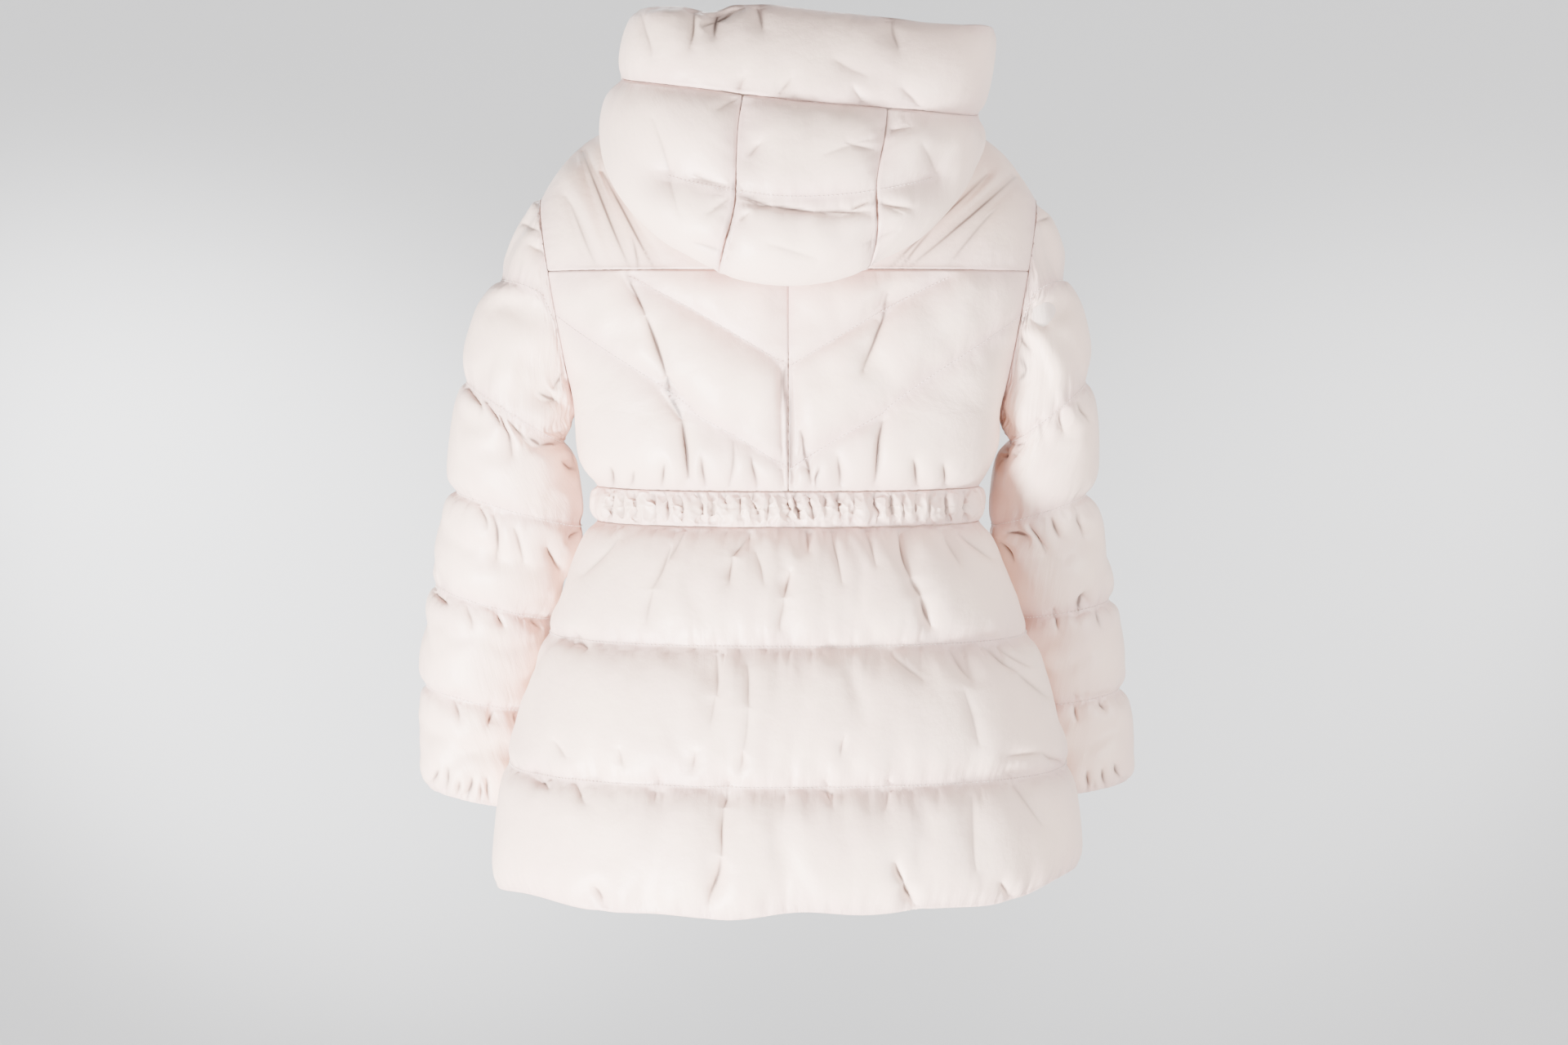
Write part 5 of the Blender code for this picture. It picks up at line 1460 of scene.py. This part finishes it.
def zip_teeth(metal):
    """Single teeth down both tapes: they mesh below the slider and part above it."""
    y, z, along, _ = zip_line(TOOTH_PITCH / 2)
    points, faces = [], []
    for index, (at, height, (along_y, along_z)) in enumerate(zip(y, z, along)):
        side = 1 if index % 2 else -1
        if abs(height - SLIDER_Z) < SLIDER_LENGTH / 2 + 0.001:
            continue
        parted = TOOTH_PARTED * smooth((height - SLIDER_Z) / TOOTH_PARTING)
        first = len(points)
        for out, inner, outer, thick in TOOTH_ENDS:
            for x, way in ((inner, -1), (outer, -1), (outer, 1), (inner, 1)):
                rise = way * thick * TOOTH_PITCH * TOOTH_HALF
                shift = 0.25 * TAPE_WALL + out
                points.append((side * (x + parted), at - shift * along_z + rise * along_y,
                               height + shift * along_y + rise * along_z))
        for face in ((3, 2, 1, 0), (4, 5, 6, 7), (0, 1, 5, 4), (1, 2, 6, 5), (2, 3, 7, 6), (3, 0, 4, 7)):
            faces.append(tuple(first + corner for corner in face)[::side])
    new_object("zip_teeth", points, faces, metal)


def feed(node, inputs):
    """Sets a node's inputs, by name or number, to values or to other nodes' outputs."""
    for key, value in inputs.items():
        if isinstance(value, bpy.types.NodeSocket):
            node.id_data.links.new(value, node.inputs[key])
        else:
            node.inputs[key].default_value = value


def new_material(name, colour, roughness, metallic=0.0):
    """A plain material, and its shader."""
    material = bpy.data.materials.new(name)
    material.use_nodes = True
    shader = material.node_tree.nodes["Principled BSDF"]
    feed(shader, {"Base Color": colour + (1,), "Roughness": roughness, "Metallic": metallic})
    return material, shader


def add_node(material, kind, inputs, output=0, **settings):
    """Adds a shader node and returns one of its outputs."""
    node = material.node_tree.nodes.new("ShaderNode" + kind)
    for key, value in settings.items():
        setattr(node, key, value)
    feed(node, inputs)
    return node.outputs[output]


def add_mix(material, share, first, second):
    """A colour between two others."""
    return add_node(material, "Mix", {"Factor": share, 6: first, 7: second}, 2, data_type="RGBA")


def metal_material(name, colour, roughness):
    """Satin metal with fine brushed streaks and a few duller patches."""
    material, shader = new_material(name, colour, roughness, 1.0)
    place = add_node(material, "TexCoord", {}, "Object")
    place = add_node(material, "Mapping", {"Scale": (60.0, 60.0, 900.0), "Vector": place})
    streaks = add_node(material, "TexNoise", {"Scale": 8.0, "Detail": 3.0, "Vector": place}, "Fac")
    gloss = {"To Min": roughness - 0.08, "To Max": roughness + 0.12, "Value": streaks}
    bump = {"Strength": 0.4, "Distance": 0.00004, "Height": streaks}
    feed(shader, {"Roughness": add_node(material, "MapRange", gloss), "Normal": add_node(material, "Bump", bump)})
    return material


def ribbed_material(name, colour, roughness, ribs, shade, bump):
    """Twill tape or twisted thread: fine slanting ribs, a shade darker between them."""
    material, shader = new_material(name, colour, roughness)
    place = add_node(material, "TexCoord", {}, "Object")
    ribs = add_node(material, "TexWave", {**ribs, "Vector": place}, "Fac", bands_direction="DIAGONAL")
    dark = tuple(value * shade for value in colour)
    feed(shader, {"Base Color": add_mix(material, ribs, dark + (1,), colour + (1,)),
                  "Normal": add_node(material, "Bump", {**bump, "Height": ribs})})
    return material


def cloth_material(name, colour, shade, roughness):
    """Woven nylon: a fine weave, small wrinkles, soft sheen, a pinkish tone that varies at random in patches, painted
    shade beside the stitches and painted shade lines in the creases.
    """
    material, shader = new_material(name, colour, roughness)
    place = add_node(material, "Attribute", {}, "Vector", attribute_name="cloth")
    near, pucker, crease = (add_node(material, "Attribute", {}, "Fac", attribute_name=word)
                            for word in ("near", "pucker", "crease"))
    patches = add_node(material, "TexNoise", {"Scale": 14.0, "Detail": 3.0, "Vector": place}, "Fac")
    # Painted shade: the colour darkens near the stitches, over random patches of a darker pinkish tone
    patches_and_painted_seam_shade = {"From Min": 0.35, "From Max": 0.75, "To Max": 0.5, "Value": patches}
    patches_and_painted_seam_shade = {0: near, 1: 0.75, 2: add_node(material, "MapRange", patches_and_painted_seam_shade)}
    patches_and_painted_seam_shade = add_node(material, "Math", patches_and_painted_seam_shade, operation="MULTIPLY_ADD")
    patches_and_painted_seam_shade = add_mix(material, patches_and_painted_seam_shade, colour + (1,), shade + (1,))
    gloss = {"To Min": roughness - 0.06, "To Max": roughness + 0.08, "Value": patches}
    wrinkles = {"Scale": 60.0, "Detail": 4.0, "Roughness": 0.55, "Vector": place}
    stretched = add_node(material, "Mapping", {"Scale": (1.0, 0.22, 1.0), "Vector": place})
    puckers = {"Scale": 190.0, "Detail": 2.0, "Distortion": 0.3, "Vector": stretched}
    puckers = {0: add_node(material, "TexNoise", puckers, "Fac"), 1: pucker}
    weave = {number: add_node(material, "TexWave", {"Scale": 700.0, "Vector": place}, "Fac", bands_direction=way)
             for number, way in enumerate("XY")}
    surface = {}
    for height, distance in ((add_node(material, "TexNoise", wrinkles, "Fac"), 0.0009),
                             (add_node(material, "Math", puckers, operation="MULTIPLY"), 0.0012),
                             (add_node(material, "Math", weave, operation="MAXIMUM"), 0.00002)):
        surface = {"Strength": 1.0, "Distance": distance, "Height": height, **surface}
        surface = {"Normal": add_node(material, "Bump", surface)}
    # Painted shade: the crease attribute darkens the colour along the creases and in the puckers
    feed(shader, {"Base Color": add_mix(material, crease, patches_and_painted_seam_shade, SHELL_PAINTED_CREASE_SHADE + (1,)),
                  "Roughness": add_node(material, "MapRange", gloss), **surface,
                  "Sheen Weight": 0.10, "Sheen Roughness": 0.5, "Specular IOR Level": 0.4})
    return material


def aimed(name, data, place, target):
    """A lamp or camera at its place, looking at its target."""
    holder = bpy.data.objects.new(name, data)
    holder.location = place
    holder.rotation_euler = (Vector(target) - Vector(place)).to_track_quat("-Z", "Y").to_euler()
    bpy.context.scene.collection.objects.link(holder)
    return holder


def light(name, kind, place, target, size, power, colour):
    """One lamp of the table."""
    lamp = bpy.data.lights.new(name, kind)
    if kind == "AREA":
        lamp.shape = "DISK"
        lamp.size = size
    else:
        lamp.spot_size = size
        lamp.spot_blend = 1.0
        lamp.shadow_soft_size = SPOT_SOFTNESS
    lamp.energy = power
    lamp.color = colour
    aimed(name, lamp, place, target)


def studio():
    """A pale bowl as floor and backdrop, soft light from the left of the picture, and the camera."""
    profile = [(0.0, FLOOR_Z), (FLOOR_RADIUS, FLOOR_Z)]
    for step in range(1, BEND_STEPS + 1):
        angle = step / BEND_STEPS * math.pi / 2
        profile.append((FLOOR_RADIUS + WALL_BEND * math.sin(angle), FLOOR_Z + WALL_BEND * (1 - math.cos(angle))))
    profile.append((FLOOR_RADIUS + WALL_BEND, WALL_TOP))
    builder = bmesh.new()
    rings = []
    for radius, height in profile:
        angles = [2 * math.pi * turn / WALL_TURNS for turn in range(WALL_TURNS if radius else 1)]
        rings.append([builder.verts.new((radius * math.sin(angle), radius * math.cos(angle), height))
                      for angle in angles])
    for low, high in zip(rings, rings[1:]):
        for turn in range(WALL_TURNS):
            following = (turn + 1) % WALL_TURNS
            if len(low) == 1:
                builder.faces.new((low[0], high[turn], high[following]))
            else:
                builder.faces.new((low[turn], high[turn], high[following], low[following]))
    mesh = bpy.data.meshes.new("backdrop")
    builder.to_mesh(mesh)
    builder.free()
    mesh.shade_smooth()
    mesh.materials.append(new_material("backdrop", BACKDROP, 0.9)[0])
    backdrop = bpy.data.objects.new("backdrop", mesh)
    bpy.context.scene.collection.objects.link(backdrop)
    world = bpy.data.worlds.new("studio")
    bpy.context.scene.world = world
    world.use_nodes = True
    feed(world.node_tree.nodes["Background"], {"Color": SKY + (1,), "Strength": WORLD_LIGHT})
    for row in LIGHTS:
        light(*row)
    camera = bpy.data.cameras.new("camera")
    camera.lens = LENS
    camera.sensor_width = SENSOR
    bpy.context.scene.camera = aimed("camera", camera, VIEW_FROM, VIEW_AT)


def all_panels():
    """Every padded piece, still flat on its base."""
    quarter = math.pi / 2
    tiny = GAP / 2 / SIDE_RADIUS
    front = math.pi - FRONT_EDGE_X / ZIP_RADIUS
    panels = [skirt_panel("skirt_back", -quarter + tiny, quarter - tiny),
              band_panel("waistband_back", -quarter + tiny, quarter - tiny),
              yoke_panel(), brim_panel()]
    for word, side in (("left", 1), ("right", -1)):
        edge = side * front
        panels.append(skirt_panel("skirt_front_" + word, edge, side * (quarter + tiny), front_edge=edge))
        panels.append(band_panel("waistband_front_" + word, edge, side * (quarter + tiny), front_edge=True))
        panels.append(upper_back_panel("upper_back_" + word, side))
        panels.append(front_panel("front_upper_" + word, side))
        panels.append(sleeve_panel("sleeve_" + word, side, SLEEVE_LEFT if side == 1 else SLEEVE_RIGHT))
    for name in ("hood_center", "hood_side_left", "hood_side_right"):
        panels.append(hood_panel(name))
    return panels


studio()
chance = np.random.default_rng(7)
shell = cloth_material("shell_nylon", SHELL, SHELL_PATCHES_AND_PAINTED_SEAM_SHADE, 0.42)
lining = cloth_material("lining_nylon", LINING, SHELL_PATCHES_AND_PAINTED_SEAM_SHADE, 0.5)
pucker_rows = pucker_table()
panels = all_panels()
fill_panels(panels)
for panel in panels:
    build_panel(panel, shell, lining)
sew_threads(panels, ribbed_material("thread", THREAD, 0.6, TWIST, 0.86, {"Strength": 0.5, "Distance": 0.0001}))
metal = metal_material("zip_metal_satin", METAL, 0.32)
zip_tapes(ribbed_material("zip_twill", TAPE, 0.75, TWILL, 0.82, {"Strength": 0.6, "Distance": 0.00015}))
zip_teeth(metal)
for node in ("zip_slider", "zip_pull"):
    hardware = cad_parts[node].data
    hardware.materials.clear()
    hardware.materials.append(metal)
